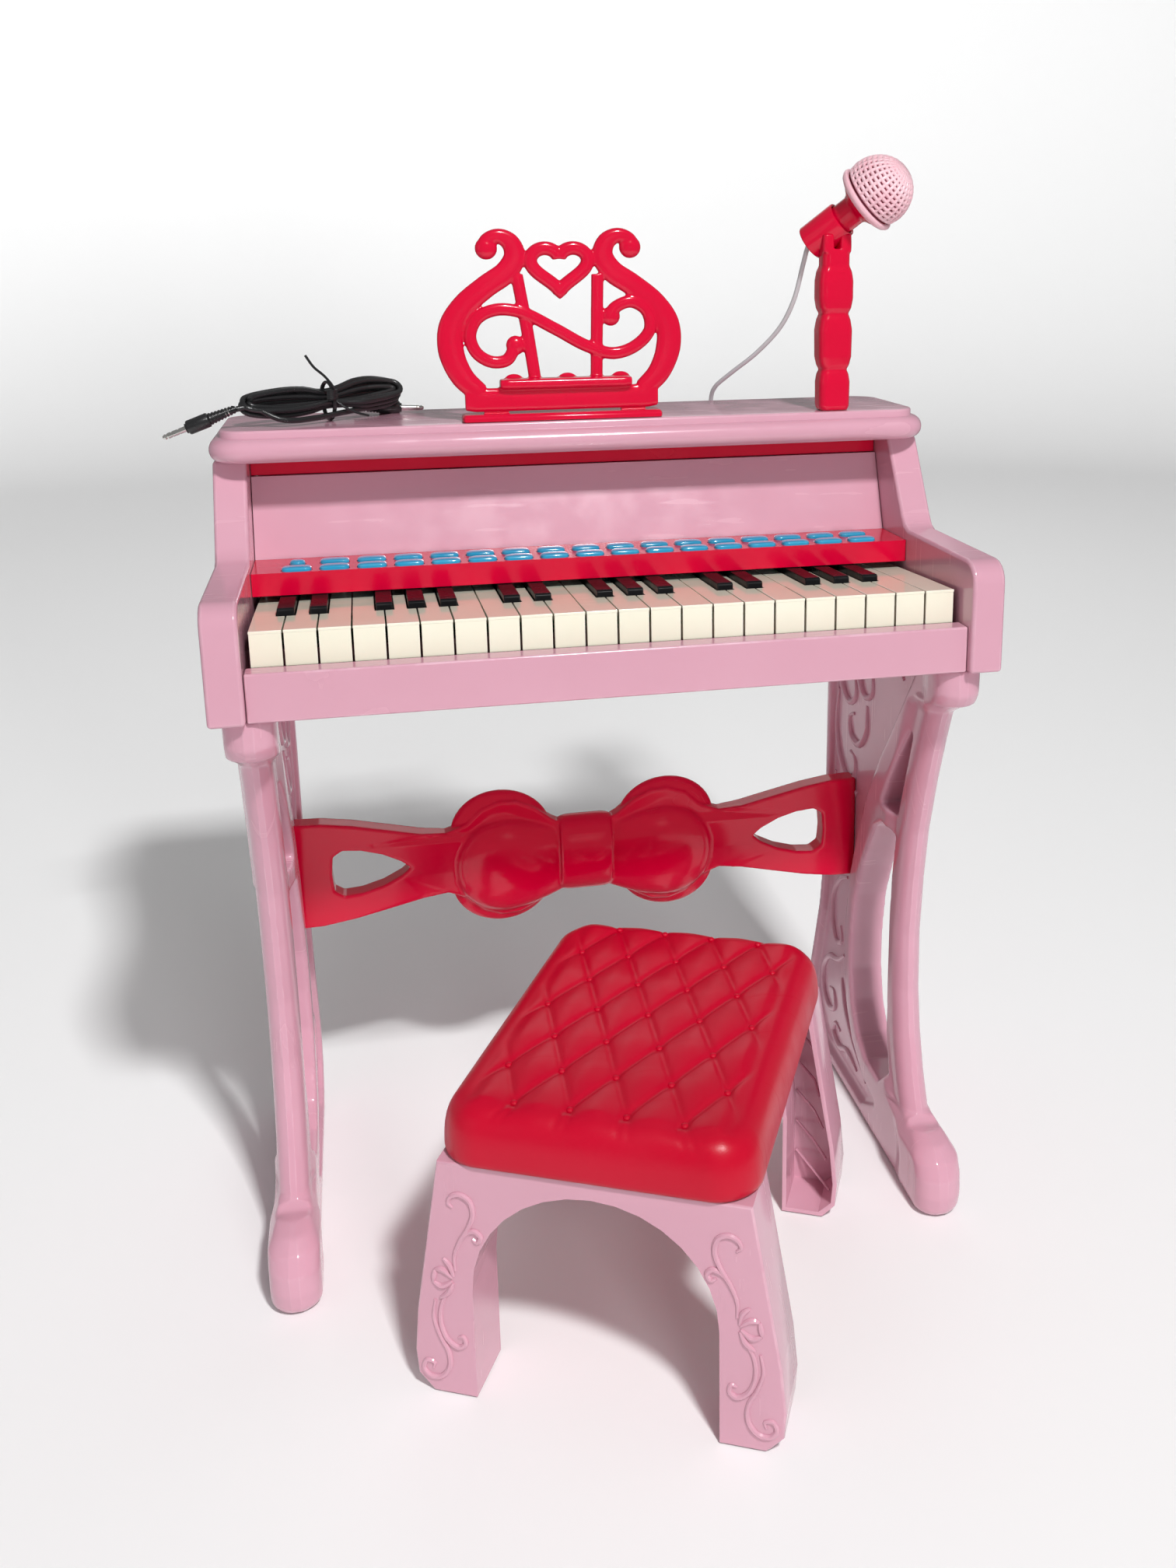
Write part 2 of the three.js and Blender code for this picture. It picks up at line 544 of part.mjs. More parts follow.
// The microphone's cord leaves the tail, falls over the lid's back edge, hangs in a loop
// behind the console and comes up to the plug in the back cover.
const PLUG_END = 226;
const micCordRoute = [
  [150.1, 129.7, 606.4], [147.9, 131.6, 603.9], [146.6, 137, 594], [143.6, 147, 571], [138, 158, 553.5],
  [126, 173, 536], [112.5, 190, 521.5], [105, 203, 511.5], [104.2, 210.6, 503.5], [105.5, 214, 492],
  [106, 215.5, 470], [105, 216, 440], [102, 217, 405], [95.5, 219, 370], [84, 221.5, 340],
  [68, 224.5, 323], [50, 228, 321], [34, 232, 336], [24.5, 236.5, 364], [20.5, 239.5, 396],
  [19.6, 239.8, 420], [19.8, 236.6, 434], [20, 231.5, 439.3], [20, PLUG_END + GAP, 440],
];
const CORD_R = 1.5;
const octagon = [0, 1, 2, 3, 4, 5, 6, 7].map((i) => {
  const angle = (i * Math.PI) / 4;
  return [CORD_R * Math.cos(angle), CORD_R * Math.sin(angle)];
});
const cordCurve = new THREE.CatmullRomCurve3(micCordRoute.map((p) => new THREE.Vector3(...p)));
add('mic_cord', new THREE.ExtrudeGeometry(outline(octagon), {
  steps: 70, bevelEnabled: false, extrudePath: cordCurve,
}), cordWhite);
add('mic_plug', aim(turned([
  [0, 0], [1.7, 1], [1.7, 13.5], [4.2, 13.8], [4.2, 26], [2.6, 36], [0, 36],
], 14), [SOCKET[0], PLUG_END - 36, SOCKET[1]], new THREE.Vector3(0, 1, 0)), gloss);

// ---------- audio lead ----------
// The lead is folded into a hank that lies aslant on the lid, with a plug at each end.
const HANK_CENTRE = [-154, 151];
const HANK_TURN = 29;            // degrees about Z
const hankOutline = roundRect(57, 15.5, 15.4, 6);
add('audio_lead_hank', slabZ(hankOutline, 0, 25)
  .rotateZ(THREE.MathUtils.degToRad(HANK_TURN))
  .translate(...HANK_CENTRE, LID_TOP + 0.5), gloss);
const plugProfile = [
  [0, 0], [1.9, 0], [3.2, 12], [4.3, 12.3], [4.3, 25], [2.4, 26.5], [1.75, 26.8], [1.75, 38.4],
  [0.8, 40.6], [0, 40.6],
];
const plugADirection = new THREE.Vector3(-35, -1, -13).normalize();
add('audio_plug_a', aim(turned(plugProfile, 14), [-207.8, 121, 513.4], plugADirection), gloss);
// The second plug lies in the hank, and only its jack stands out.
add('audio_plug_b', aim(turned([[0, 0], [1.75, 0], [1.75, 11], [0.8, 13], [0, 13]], 14),
  [-105.4, 183, 505.6], new THREE.Vector3(1, 0, 0)), gloss);

// ---------- stool ----------
const stool = new THREE.Group();
stool.position.set(STOOL_CENTRE[0], STOOL_CENTRE[1], 0);
stool.rotation.z = THREE.MathUtils.degToRad(STOOL_TURN);
piano.add(stool);

const seatRing = (halfX, halfY, corner, z) => ({ points: roundRect(halfX, halfY, corner, 5), z });
add('stool_seat', loft([
  seatRing(84.5, 116, 24, SEAT_BOTTOM), seatRing(86, 117.5, 25, 147), seatRing(85.5, 117, 25, 156),
  seatRing(83.5, 114.5, 25, 165), seatRing(79.5, 110.5, 24, 171.5), seatRing(73, 103, 21, SEAT_TOP),
]), seatPink, stool);

// One stool frame: an arch with two legs, a thin front wall with all its edges turned back.
function frameOutline(inset) {
  const arch = [];
  for (let i = 0; i <= 16; i += 1) {
    const angle = Math.PI - (Math.PI * i) / 16;
    arch.push([
      (ARCH_HALF + inset) * Math.cos(angle), 67 + (66 + inset) * Math.sin(angle),
    ]);
  }
  const foot = FRAME_FOOT - inset;
  return [
    [-ARCH_HALF - inset, inset], ...arch, [ARCH_HALF + inset, inset], [foot - 9, inset],
    [foot - 1, 9 + inset * 0.5], [foot, 24], [foot - 2.5, 50], [FRAME_HEAD - inset, SEAT_BOTTOM - GAP - inset],
    [inset - FRAME_HEAD, SEAT_BOTTOM - GAP - inset], [2.5 - foot, 50], [-foot, 24],
    [1 - foot, 9 + inset * 0.5], [9 - foot, inset],
  ];
}
function stoolFrame(facing) {
  const y = (a, b) => (facing < 0 ? [-b, -a] : [a, b]);
  const wall = 2.6;
  const body = slabY(frameOutline(0), ...y(FRAME_FACE - FRAME_DEPTH, FRAME_FACE));
  const hollow = slabY(frameOutline(wall), ...y(FRAME_FACE - FRAME_DEPTH - 1, FRAME_FACE - wall));
  return cut(body, hollow);
}
add('stool_frame_near', stoolFrame(-1), palePink, stool);
add('stool_frame_far', stoolFrame(1), palePink, stool);

// ---------- origin ----------
// The footprint's middle is taken on the toy itself, without the two cords and their plugs.
const loose = ['mic_cord', 'mic_plug', 'audio_lead_hank', 'audio_plug_a', 'audio_plug_b'];
piano.updateMatrixWorld(true);
const extent = new THREE.Box3();
piano.traverse((node) => {
  if (node.isMesh && !loose.includes(node.name)) extent.expandByObject(node, true);
});
piano.position.y = -(extent.min.y + extent.max.y) / 2;

const group = new THREE.Group();
group.add(piano);
export default group;
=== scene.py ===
import math

import bmesh
import bpy
import numpy as np
from mathutils import Matrix, Vector


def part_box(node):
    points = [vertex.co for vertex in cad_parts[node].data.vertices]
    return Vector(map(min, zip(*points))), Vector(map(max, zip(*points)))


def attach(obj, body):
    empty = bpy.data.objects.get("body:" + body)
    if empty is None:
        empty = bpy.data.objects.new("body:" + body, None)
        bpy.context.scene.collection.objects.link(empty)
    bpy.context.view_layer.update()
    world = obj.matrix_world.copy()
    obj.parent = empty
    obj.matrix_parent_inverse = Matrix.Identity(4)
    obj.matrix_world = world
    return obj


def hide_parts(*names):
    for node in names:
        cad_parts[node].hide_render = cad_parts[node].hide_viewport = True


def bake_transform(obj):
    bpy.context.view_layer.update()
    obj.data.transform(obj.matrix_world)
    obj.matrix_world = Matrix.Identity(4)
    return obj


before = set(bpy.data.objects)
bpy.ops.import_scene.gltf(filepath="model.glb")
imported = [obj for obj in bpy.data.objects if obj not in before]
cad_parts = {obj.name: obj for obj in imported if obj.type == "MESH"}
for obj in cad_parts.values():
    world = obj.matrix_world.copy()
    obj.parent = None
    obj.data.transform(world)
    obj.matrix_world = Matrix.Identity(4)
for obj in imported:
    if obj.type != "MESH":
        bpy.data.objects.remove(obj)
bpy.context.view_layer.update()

# Camera and studio
# The toy stands in a round paper sweep. A small key light high in front casts the shadows;
# weaker lamps at the left, in front and behind, and the pale room, soften them.
keys_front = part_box("white_key_01")[0].y   # the front face of the white keys is where sizes start

camera = bpy.data.objects.new("camera", bpy.data.cameras.new("camera"))
bpy.context.scene.collection.objects.link(camera)
yaw, pitch, roll = (math.radians(a) for a in (11.92, 14.07, 0.59))
ahead = Vector((math.sin(yaw) * math.cos(pitch), math.cos(yaw) * math.cos(pitch), -math.sin(pitch)))
level = Vector((math.cos(yaw), -math.sin(yaw), 0))
down = ahead.cross(level)
across = level * math.cos(roll) + down * math.sin(roll)
upright = level * math.sin(roll) - down * math.cos(roll)
stand = Vector((-0.1329, keys_front - 0.7665, 0.6019))
for row in range(3):
    camera.matrix_world[row][0] = across[row]
    camera.matrix_world[row][1] = upright[row]
    camera.matrix_world[row][2] = -ahead[row]
    camera.matrix_world[row][3] = stand[row]
camera.data.lens = 33.31
camera.data.shift_x = -0.052
camera.data.shift_y = -0.108
camera.data.clip_start = 0.02
camera.data.clip_end = 60
bpy.context.scene.camera = camera
bpy.context.scene.view_settings.view_transform = "Standard"


def finished(name, bm, material, crease=38):
    """Makes an object of a bmesh, smooth but for edges sharper than the crease angle."""
    mesh = bpy.data.meshes.new(name)
    bm.to_mesh(mesh)
    bm.free()
    mesh.materials.append(material)
    mesh.polygons.foreach_set("use_smooth", [True] * len(mesh.polygons))
    mesh.set_sharp_from_angle(angle=math.radians(crease))
    piece = bpy.data.objects.new(name, mesh)
    bpy.context.scene.collection.objects.link(piece)
    return piece


def skinned(bm, rings, ends=True):
    """Faces between rings of points, foot to head; a ring of one point closes to a tip."""
    for low, high in zip(rings, rings[1:]):
        for i in range(max(len(low), len(high))):
            j = i + 1
            corners = dict.fromkeys((low[i % len(low)], low[j % len(low)],
                                     high[j % len(high)], high[i % len(high)]))
            if len(corners) > 2:
                bm.faces.new(list(corners))
    if ends:
        bm.faces.new(rings[0][::-1])
        bm.faces.new(rings[-1])


def turn(bm, profile, foot=(0, 0, 0), axis=(0, 0, 1), around=40):
    """A turned body from [radius, height] pairs, foot to head up its outside."""
    aim = Vector(axis).to_track_quat("Z", "Y")
    rings = []
    for radius, height in profile:
        count = 1 if radius < 1e-7 else around
        rings.append([bm.verts.new(Vector(foot) + aim @ Vector((
            radius * math.cos(math.tau * i / around), radius * math.sin(math.tau * i / around), height,
        ))) for i in range(count)])
    skinned(bm, rings, ends=False)


paper = bpy.data.materials.new("studio paper")
paper.use_nodes = True
paper_fibre = paper.node_tree.nodes.new("ShaderNodeTexNoise")
paper_fibre.inputs["Scale"].default_value = 60
paper_tone = paper.node_tree.nodes.new("ShaderNodeMapRange")
paper_tone.inputs["To Min"].default_value = 0.82
paper_tone.inputs["To Max"].default_value = 0.9
paper_shader = paper.node_tree.nodes["Principled BSDF"]
paper_shader.inputs["Base Color"].default_value = (0.87, 0.87, 0.87, 1)
paper.node_tree.links.new(paper_fibre.outputs["Fac"], paper_tone.inputs["Value"])
paper.node_tree.links.new(paper_tone.outputs["Result"], paper_shader.inputs["Roughness"])
floor_bm = bmesh.new()
turn(floor_bm, [(0, -0.0012), (1.3, -0.0012)], around=96)
sweep_bm = bmesh.new()
sweep_profile = [(1.3, -0.0012), (3.4, -0.0012)]
for i in range(1, 17):
    bend = math.radians(90 * i / 16)
    sweep_profile.append((3.4 + 1.9 * math.sin(bend), 1.9 - 1.9 * math.cos(bend)))
turn(sweep_bm, sweep_profile, around=96)
for bm in (floor_bm, sweep_bm):
    bmesh.ops.recalc_face_normals(bm, faces=bm.faces)
    bm.faces.ensure_lookup_table()
    if bm.faces[0].normal.z < 0:
        bmesh.ops.reverse_faces(bm, faces=bm.faces)
far_sweep = finished("paper_sweep", sweep_bm, paper)
far_sweep.visible_glossy = False
finished("paper_floor", floor_bm, paper)


def lamp(name, place, target, size, power):
    light = bpy.data.objects.new(name, bpy.data.lights.new(name, "AREA"))
    light.data.size = size
    light.data.energy = power
    light.location = place
    light.rotation_mode = "QUATERNION"
    light.rotation_quaternion = (Vector(target) - Vector(place)).to_track_quat("-Z", "Y")
    bpy.context.scene.collection.objects.link(light)


lamp("key_light", (0.25, -1.26, 1.72), (0, 0, 0.3), 0.16, 1)
lamp("fill_light", (-1.9, -1.1, 0.9), (0, 0, 0.3), 1.2, 1.2)
lamp("back_light", (0.5, 2.2, 1.6), (0, 0, 0.4), 1.4, 4)
lamp("front_light", (0.25, -1.9, 0.62), (0, 0, 0.28), 0.45, 1)
lamp("paper_light", (0, 1.1, 2.4), (0, 4, 0.2), 2.2, 1)
bpy.data.objects["front_light"].visible_glossy = False
for name, strength in (("key_light", 7.9), ("front_light", 2.8), ("paper_light", 0.55)):
    even = bpy.data.lights[name]   # as even as a lamp far away
    even.use_nodes = True
    falloff = even.node_tree.nodes.new("ShaderNodeLightFalloff")
    falloff.inputs["Strength"].default_value = strength
    even.node_tree.links.new(falloff.outputs["Constant"],
                             even.node_tree.nodes["Emission"].inputs["Strength"])
room = bpy.data.worlds.new("room")
room.use_nodes = True
room.node_tree.nodes["Background"].inputs["Color"].default_value = (1, 1, 1, 1)
room.node_tree.nodes["Background"].inputs["Strength"].default_value = 0.23
bpy.context.scene.world = room

# Microphone cord and plug
# A thin round cord, extruded in soft grey-white plastic. It leaves the microphone's tail, falls
# over the lid's back edge, hangs in a loop behind the console and comes up to a small jack plug.


def shader_group(name, inputs, outputs):
    """A shader node group with named sockets; inputs come with their usual values."""
    tree = bpy.data.node_groups.new(name, "ShaderNodeTree")
    for label, kind, value in inputs:
        tree.interface.new_socket(label, in_out="INPUT", socket_type=kind).default_value = value
    for label, kind in outputs:
        tree.interface.new_socket(label, in_out="OUTPUT", socket_type=kind)
    return tree, tree.nodes.new("NodeGroupInput"), tree.nodes.new("NodeGroupOutput")


def maths(tree, operation, a, b, clamp=False):
    """A math node fed by sockets or plain numbers; gives back its result socket."""
    node = tree.nodes.new("ShaderNodeMath")
    node.operation = operation
    node.use_clamp = clamp
    for socket, value in zip(node.inputs, (a, b)):
        if isinstance(value, (int, float)):
            socket.default_value = value
        else:
            tree.links.new(value, socket)
    return node.outputs[0]


# The skin of a moulded part: the fine texture of the mould, slow waves from shrinking and
# cloudy smears from handling.
moulded_skin, skin_in, skin_out = shader_group(
    "Moulded skin",
    [("Grain Scale", "NodeSocketFloat", 900.0), ("Wave Scale", "NodeSocketFloat", 22.0),
     ("Grain Share", "NodeSocketFloat", 0.3)],
    [("Height", "NodeSocketFloat"), ("Smear", "NodeSocketFloat"), ("Mottle", "NodeSocketFloat")])
skin_place = moulded_skin.nodes.new("ShaderNodeTexCoord")


def skin_noise(scale, detail):
    noise = moulded_skin.nodes.new("ShaderNodeTexNoise")
    noise.inputs["Detail"].default_value = detail
    moulded_skin.links.new(skin_place.outputs["Object"], noise.inputs["Vector"])
    if isinstance(scale, float):
        noise.inputs["Scale"].default_value = scale
    else:
        moulded_skin.links.new(scale, noise.inputs["Scale"])
    return noise.outputs["Fac"]


skin_grain = skin_noise(skin_in.outputs["Grain Scale"], 3)
skin_wave = skin_noise(skin_in.outputs["Wave Scale"], 1)
skin_fine = maths(moulded_skin, "MULTIPLY", skin_grain, skin_in.outputs["Grain Share"])
moulded_skin.links.new(maths(moulded_skin, "ADD", skin_fine, skin_wave), skin_out.inputs["Height"])
smear_contrast = maths(moulded_skin, "SUBTRACT", skin_noise(38.0, 6), 0.42)
moulded_skin.links.new(maths(moulded_skin, "MULTIPLY", smear_contrast, 4.0, True),
                       skin_out.inputs["Smear"])
mottle_contrast = maths(moulded_skin, "SUBTRACT", skin_noise(9.0, 4), 0.35)
moulded_skin.links.new(maths(moulded_skin, "MULTIPLY", mottle_contrast, 2.6, True),
                       skin_out.inputs["Mottle"])

# Edges and corners that hands and knocks have rubbed paler, broken up by noise. Each piece
# carries how sharply each of its faces bends outwards.
rubbed_edges, rub_in, rub_out = shader_group(
    "Rubbed edges",
    [("Reach", "NodeSocketFloat", 1.0), ("Patch Scale", "NodeSocketFloat", 60.0)],
    [("Mask", "NodeSocketFloat")])
rub_shape = rubbed_edges.nodes.new("ShaderNodeAttribute")
rub_shape.attribute_name = "bend"
rub_place = rubbed_edges.nodes.new("ShaderNodeTexCoord")
rub_patch = rubbed_edges.nodes.new("ShaderNodeTexNoise")
rub_patch.inputs["Detail"].default_value = 5
rubbed_edges.links.new(rub_place.outputs["Object"], rub_patch.inputs["Vector"])
rubbed_edges.links.new(rub_in.outputs["Patch Scale"], rub_patch.inputs["Scale"])
rub_edge = maths(rubbed_edges, "MULTIPLY", rub_shape.outputs["Fac"], rub_in.outputs["Reach"], True)
rub_gate = maths(rubbed_edges, "SUBTRACT", rub_patch.outputs["Fac"], 0.38)
rub_gate = maths(rubbed_edges, "MULTIPLY", rub_gate, 4.0, True)
rubbed_edges.links.new(maths(rubbed_edges, "MULTIPLY", rub_edge, rub_gate), rub_out.inputs["Mask"])

# Hairline scuffs: long thin noise in two directions, seen only in the gloss.
hairlines, hair_in, hair_out = shader_group(
    "Hairline scuffs", [("Length", "NodeSocketFloat", 14.0)], [("Mask", "NodeSocketFloat")])
hair_place = hairlines.nodes.new("ShaderNodeTexCoord")
hair_lines = []
for lean in (0.5, 1.9):
    stretch = hairlines.nodes.new("ShaderNodeMapping")
    stretch.inputs["Rotation"].default_value = (lean, lean * 0.7, lean)
    stretch.inputs["Scale"].default_value = (1, 26, 1)
    line = hairlines.nodes.new("ShaderNodeTexNoise")
    line.inputs["Detail"].default_value = 2
    hairlines.links.new(hair_place.outputs["Object"], stretch.inputs["Vector"])
    hairlines.links.new(stretch.outputs["Vector"], line.inputs["Vector"])
    hairlines.links.new(hair_in.outputs["Length"], line.inputs["Scale"])
    thin = maths(hairlines, "SUBTRACT", line.outputs["Fac"], 0.66)
    hair_lines.append(maths(hairlines, "MULTIPLY", thin, 14.0, True))
hairlines.links.new(maths(hairlines, "MAXIMUM", *hair_lines), hair_out.inputs["Mask"])


def plastic(name, colour, shade, pale, gloss=(0.16, 0.3), grain=900.0, share=0.3, wave=22.0,
            relief=0.0001, rub=0.6, coat=0.0, specular=0.5, soft=0.0):
    """A moulded plastic: its colour, a second shade it clouds to and a paler one at its edges."""
    material = bpy.data.materials.new(name)
    material.use_nodes = True
    tree = material.node_tree
    shader = tree.nodes["Principled BSDF"]
    shader.inputs["Coat Weight"].default_value = coat
    shader.inputs["Coat Roughness"].default_value = 0.08
    shader.inputs["Specular IOR Level"].default_value = specular
    shader.inputs["Subsurface Weight"].default_value = soft
    shader.inputs["Subsurface Radius"].default_value = (0.003, 0.0012, 0.001)
    skin = tree.nodes.new("ShaderNodeGroup")
    skin.node_tree = moulded_skin
    skin.inputs["Grain Scale"].default_value = grain
    skin.inputs["Wave Scale"].default_value = wave
    skin.inputs["Grain Share"].default_value = share
    edges = tree.nodes.new("ShaderNodeGroup")
    edges.node_tree = rubbed_edges
    edges.inputs["Reach"].default_value = rub
    scuffs = tree.nodes.new("ShaderNodeGroup")
    scuffs.node_tree = hairlines
    cloud = tree.nodes.new("ShaderNodeMix")
    cloud.data_type = "RGBA"
    cloud.inputs[6].default_value = (*colour, 1)
    cloud.inputs[7].default_value = (*shade, 1)
    worn = tree.nodes.new("ShaderNodeMix")
    worn.data_type = "RGBA"
    worn.inputs[7].default_value = (*pale, 1)
    tree.links.new(skin.outputs["Mottle"], cloud.inputs[0])
    tree.links.new(cloud.outputs[2], worn.inputs[6])
    tree.links.new(edges.outputs["Mask"], worn.inputs[0])
    tree.links.new(worn.outputs[2], shader.inputs["Base Color"])
    dull = tree.nodes.new("ShaderNodeMapRange")
    dull.inputs["To Min"].default_value = gloss[0]
    dull.inputs["To Max"].default_value = gloss[1]
    tree.links.new(skin.outputs["Smear"], dull.inputs["Value"])
    scuffed = maths(tree, "MULTIPLY", scuffs.outputs["Mask"], 0.12)
    tree.links.new(maths(tree, "ADD", dull.outputs["Result"], scuffed, True),
                   shader.inputs["Roughness"])
    bump = tree.nodes.new("ShaderNodeBump")
    bump.inputs["Distance"].default_value = relief
    bump.inputs["Strength"].default_value = 1
    tree.links.new(skin.outputs["Height"], bump.inputs["Height"])
    tree.links.new(bump.outputs["Normal"], shader.inputs["Normal"])
    return material


def through(points, steps=10):
    """A smooth centripetal line through points, in metres."""
    spots = [Vector(p) for p in points]
    spots = [spots[0] * 2 - spots[1], *spots, spots[-1] * 2 - spots[-2]]
    line = []
    for a, b, c, d in zip(spots, spots[1:], spots[2:], spots[3:]):
        t0 = 0.0
        t1 = t0 + (b - a).length ** 0.5
        t2 = t1 + (c - b).length ** 0.5
        t3 = t2 + (d - c).length ** 0.5
        for i in range(steps):
            t = t1 + (t2 - t1) * i / steps
            ab = a + (b - a) * ((t - t0) / (t1 - t0))
            bc = b + (c - b) * ((t - t1) / (t2 - t1))
            cd = c + (d - c) * ((t - t2) / (t3 - t2))
            abc = ab + (bc - ab) * ((t - t0) / (t2 - t0))
            bcd = bc + (cd - bc) * ((t - t1) / (t3 - t1))
            line.append(abc + (bcd - abc) * ((t - t1) / (t2 - t1)))
    line.append(spots[-2].copy())
    return line


def sweep(bm, path, radius, sides=12, flat=1.0, up=None):
    """A closed tube along a path; the radius may follow the way along, and flat squeezes it."""
    now = (path[1] - path[0]).normalized()
    side = now.cross(Vector(up)).normalized() if up else now.orthogonal().normalized()
    rings = []
    for i, point in enumerate(path):
        now = (path[min(i + 1, len(path) - 1)] - path[max(i - 1, 0)]).normalized()
        side = (side - now * side.dot(now)).normalized()
        rise = now.cross(side)
        reach = radius(i / (len(path) - 1)) if callable(radius) else radius
        rings.append([bm.verts.new(point + reach * (
            side * math.cos(math.tau * j / sides) + rise * math.sin(math.tau * j / sides) * flat
        )) for j in range(sides)])
    skinned(bm, rings)


def mm(x, y, z):
    """A point given in millimetres from the keyboard's middle, the keys' front and the floor."""
    return Vector((x / 1000, keys_front + y / 1000, z / 1000))


def belongs(piece, body, slot, *nodes):
    """The piece moves with a body and stands for CAD nodes; slot is not used."""
    mesh = piece.data
    ends = np.empty(len(mesh.loops), np.int64)
    mesh.loops.foreach_get("vertex_index", ends)
    spots = np.empty(len(mesh.vertices) * 3)
    mesh.vertices.foreach_get("co", spots)
    facing = np.empty(len(mesh.loops) * 3)
    mesh.corner_normals.foreach_get("vector", facing)
    starts = np.empty(len(mesh.polygons), np.int64)
    mesh.polygons.foreach_get("loop_start", starts)
    follow = np.arange(1, len(ends) + 1)
    follow[np.append(starts[1:], len(ends)) - 1] = starts
    spots = spots.reshape(-1, 3)[ends]
    facing = facing.reshape(-1, 3)
    reach = spots[follow] - spots
    bends = ((facing[follow] - facing) * reach).sum(1) / np.maximum((reach ** 2).sum(1), 1e-10)
    bend = np.add.reduceat(bends, starts) / np.diff(np.append(starts, len(ends)))
    values = mesh.attributes.new("bend", "FLOAT", "FACE").data
    values.foreach_set("value", np.clip(bend / 400 - 0.25, 0, 1).astype(np.float32))
    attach(piece, body)
    if nodes:
        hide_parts(*nodes)
    return piece


cord_white = plastic("soft white cord", (0.60, 0.60, 0.61), (0.50, 0.50, 0.52), (0.7, 0.7, 0.7),
                     gloss=(0.28, 0.42), grain=2400.0, share=0.8, rub=0)
cable_black = plastic("black cable skin", (0.012, 0.012, 0.013), (0.02, 0.02, 0.021),
                      (0.05, 0.05, 0.05), gloss=(0.16, 0.34), grain=2200.0, share=0.8, rub=0,
                      specular=0.6)
plug_metal = bpy.data.materials.new("nickel plate")
plug_metal.use_nodes = True
plug_shader = plug_metal.node_tree.nodes["Principled BSDF"]
plug_shader.inputs["Metallic"].default_value = 1
plug_skin = plug_metal.node_tree.nodes.new("ShaderNodeGroup")
plug_skin.node_tree = moulded_skin
plug_skin.inputs["Grain Scale"].default_value = 3000
plug_tone = plug_metal.node_tree.nodes.new("ShaderNodeMix")
plug_tone.data_type = "RGBA"
plug_tone.inputs[6].default_value = (0.78, 0.77, 0.74, 1)
plug_tone.inputs[7].default_value = (0.62, 0.60, 0.56, 1)
plug_dull = plug_metal.node_tree.nodes.new("ShaderNodeMapRange")
plug_dull.inputs["To Min"].default_value = 0.14
plug_dull.inputs["To Max"].default_value = 0.32
plug_metal.node_tree.links.new(plug_skin.outputs["Smear"], plug_tone.inputs[0])
plug_metal.node_tree.links.new(plug_tone.outputs[2], plug_shader.inputs["Base Color"])
plug_metal.node_tree.links.new(plug_skin.outputs["Smear"], plug_dull.inputs["Value"])
plug_metal.node_tree.links.new(plug_dull.outputs["Result"], plug_shader.inputs["Roughness"])

mic_cord_route = [
    (150.1, 129.7, 606.4), (147.9, 131.6, 603.9), (146.6, 137, 594), (143.6, 147, 571),
    (138, 158, 553.5), (126, 173, 536), (112.5, 190, 521.5), (105, 203, 511.5),
    (104.2, 210.6, 503.5), (105.5, 214, 492), (106, 215.5, 470), (105, 216, 440),
    (102, 217, 405), (95.5, 219, 370), (84, 221.5, 340), (68, 224.5, 323), (50, 228, 321),
    (34, 232, 336), (24.5, 236.5, 364), (20.5, 239.5, 396), (19.6, 239.8, 420),
    (19.8, 236.6, 434), (20, 231.5, 439.3), (20, 226.3, 440)]
mic_cord_line = through([mm(*p) for p in mic_cord_route], 8)
mic_cord_bm = bmesh.new()
sweep(mic_cord_bm, mic_cord_line, 0.0015, 12)
mic_cord = finished("microphone_cord", mic_cord_bm, cord_white)
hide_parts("mic_cord")

plug_low, plug_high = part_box("mic_plug")
plug_foot = ((plug_low.x + plug_high.x) / 2, plug_low.y, (plug_low.z + plug_high.z) / 2)
mic_plug_bm = bmesh.new()
turn(mic_plug_bm, [(r / 1000, h / 1000) for r, h in (
    (0, 0), (1.1, 0.4), (1.7, 1.4), (1.7, 3.2), (1.45, 3.4), (1.45, 3.9), (1.7, 4.1), (1.7, 13.4),
    (0, 13.4))], plug_foot, (0, 1, 0), 24)
belongs(finished("microphone_plug_jack", mic_plug_bm, plug_metal), "console", "black_cable")
mic_boot_bm = bmesh.new()
boot = [(0, 13.3), (4.0, 13.3), (4.2, 13.8), (4.2, 20)]
boot += [(4.2 - 0.18 * i + (0.35 if i % 2 else 0), 20 + i) for i in range(1, 16)]
boot += [(1.9, 36), (0, 36)]
turn(mic_boot_bm, [(r / 1000, h / 1000) for r, h in boot], plug_foot, (0, 1, 0), 24)
mic_plug = belongs(finished("microphone_plug_boot", mic_boot_bm, cable_black, 50), "console",
                   "black_cable", "mic_plug")
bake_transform(mic_cord)

# Audio lead
# A black lead with a jack plug at each end, wound in seven turns into a flat hank, pinched at
# its middle by a wire twist tie, and laid aslant on the lid.
hank_low, hank_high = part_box("audio_lead_hank")
hank_middle = (hank_low + hank_high) / 2
hank_lean = math.radians(29)
hank_along = Vector((math.cos(hank_lean), math.sin(hank_lean), 0))
hank_aside = Vector((-math.sin(hank_lean), math.cos(hank_lean), 0))
CABLE = 0.0034
TURNS = 7


def on_hank(along, aside, height):
    spot = hank_middle + hank_along * along / 1000 + hank_aside * aside / 1000
    spot.z = hank_low.z + height / 1000
    return spot


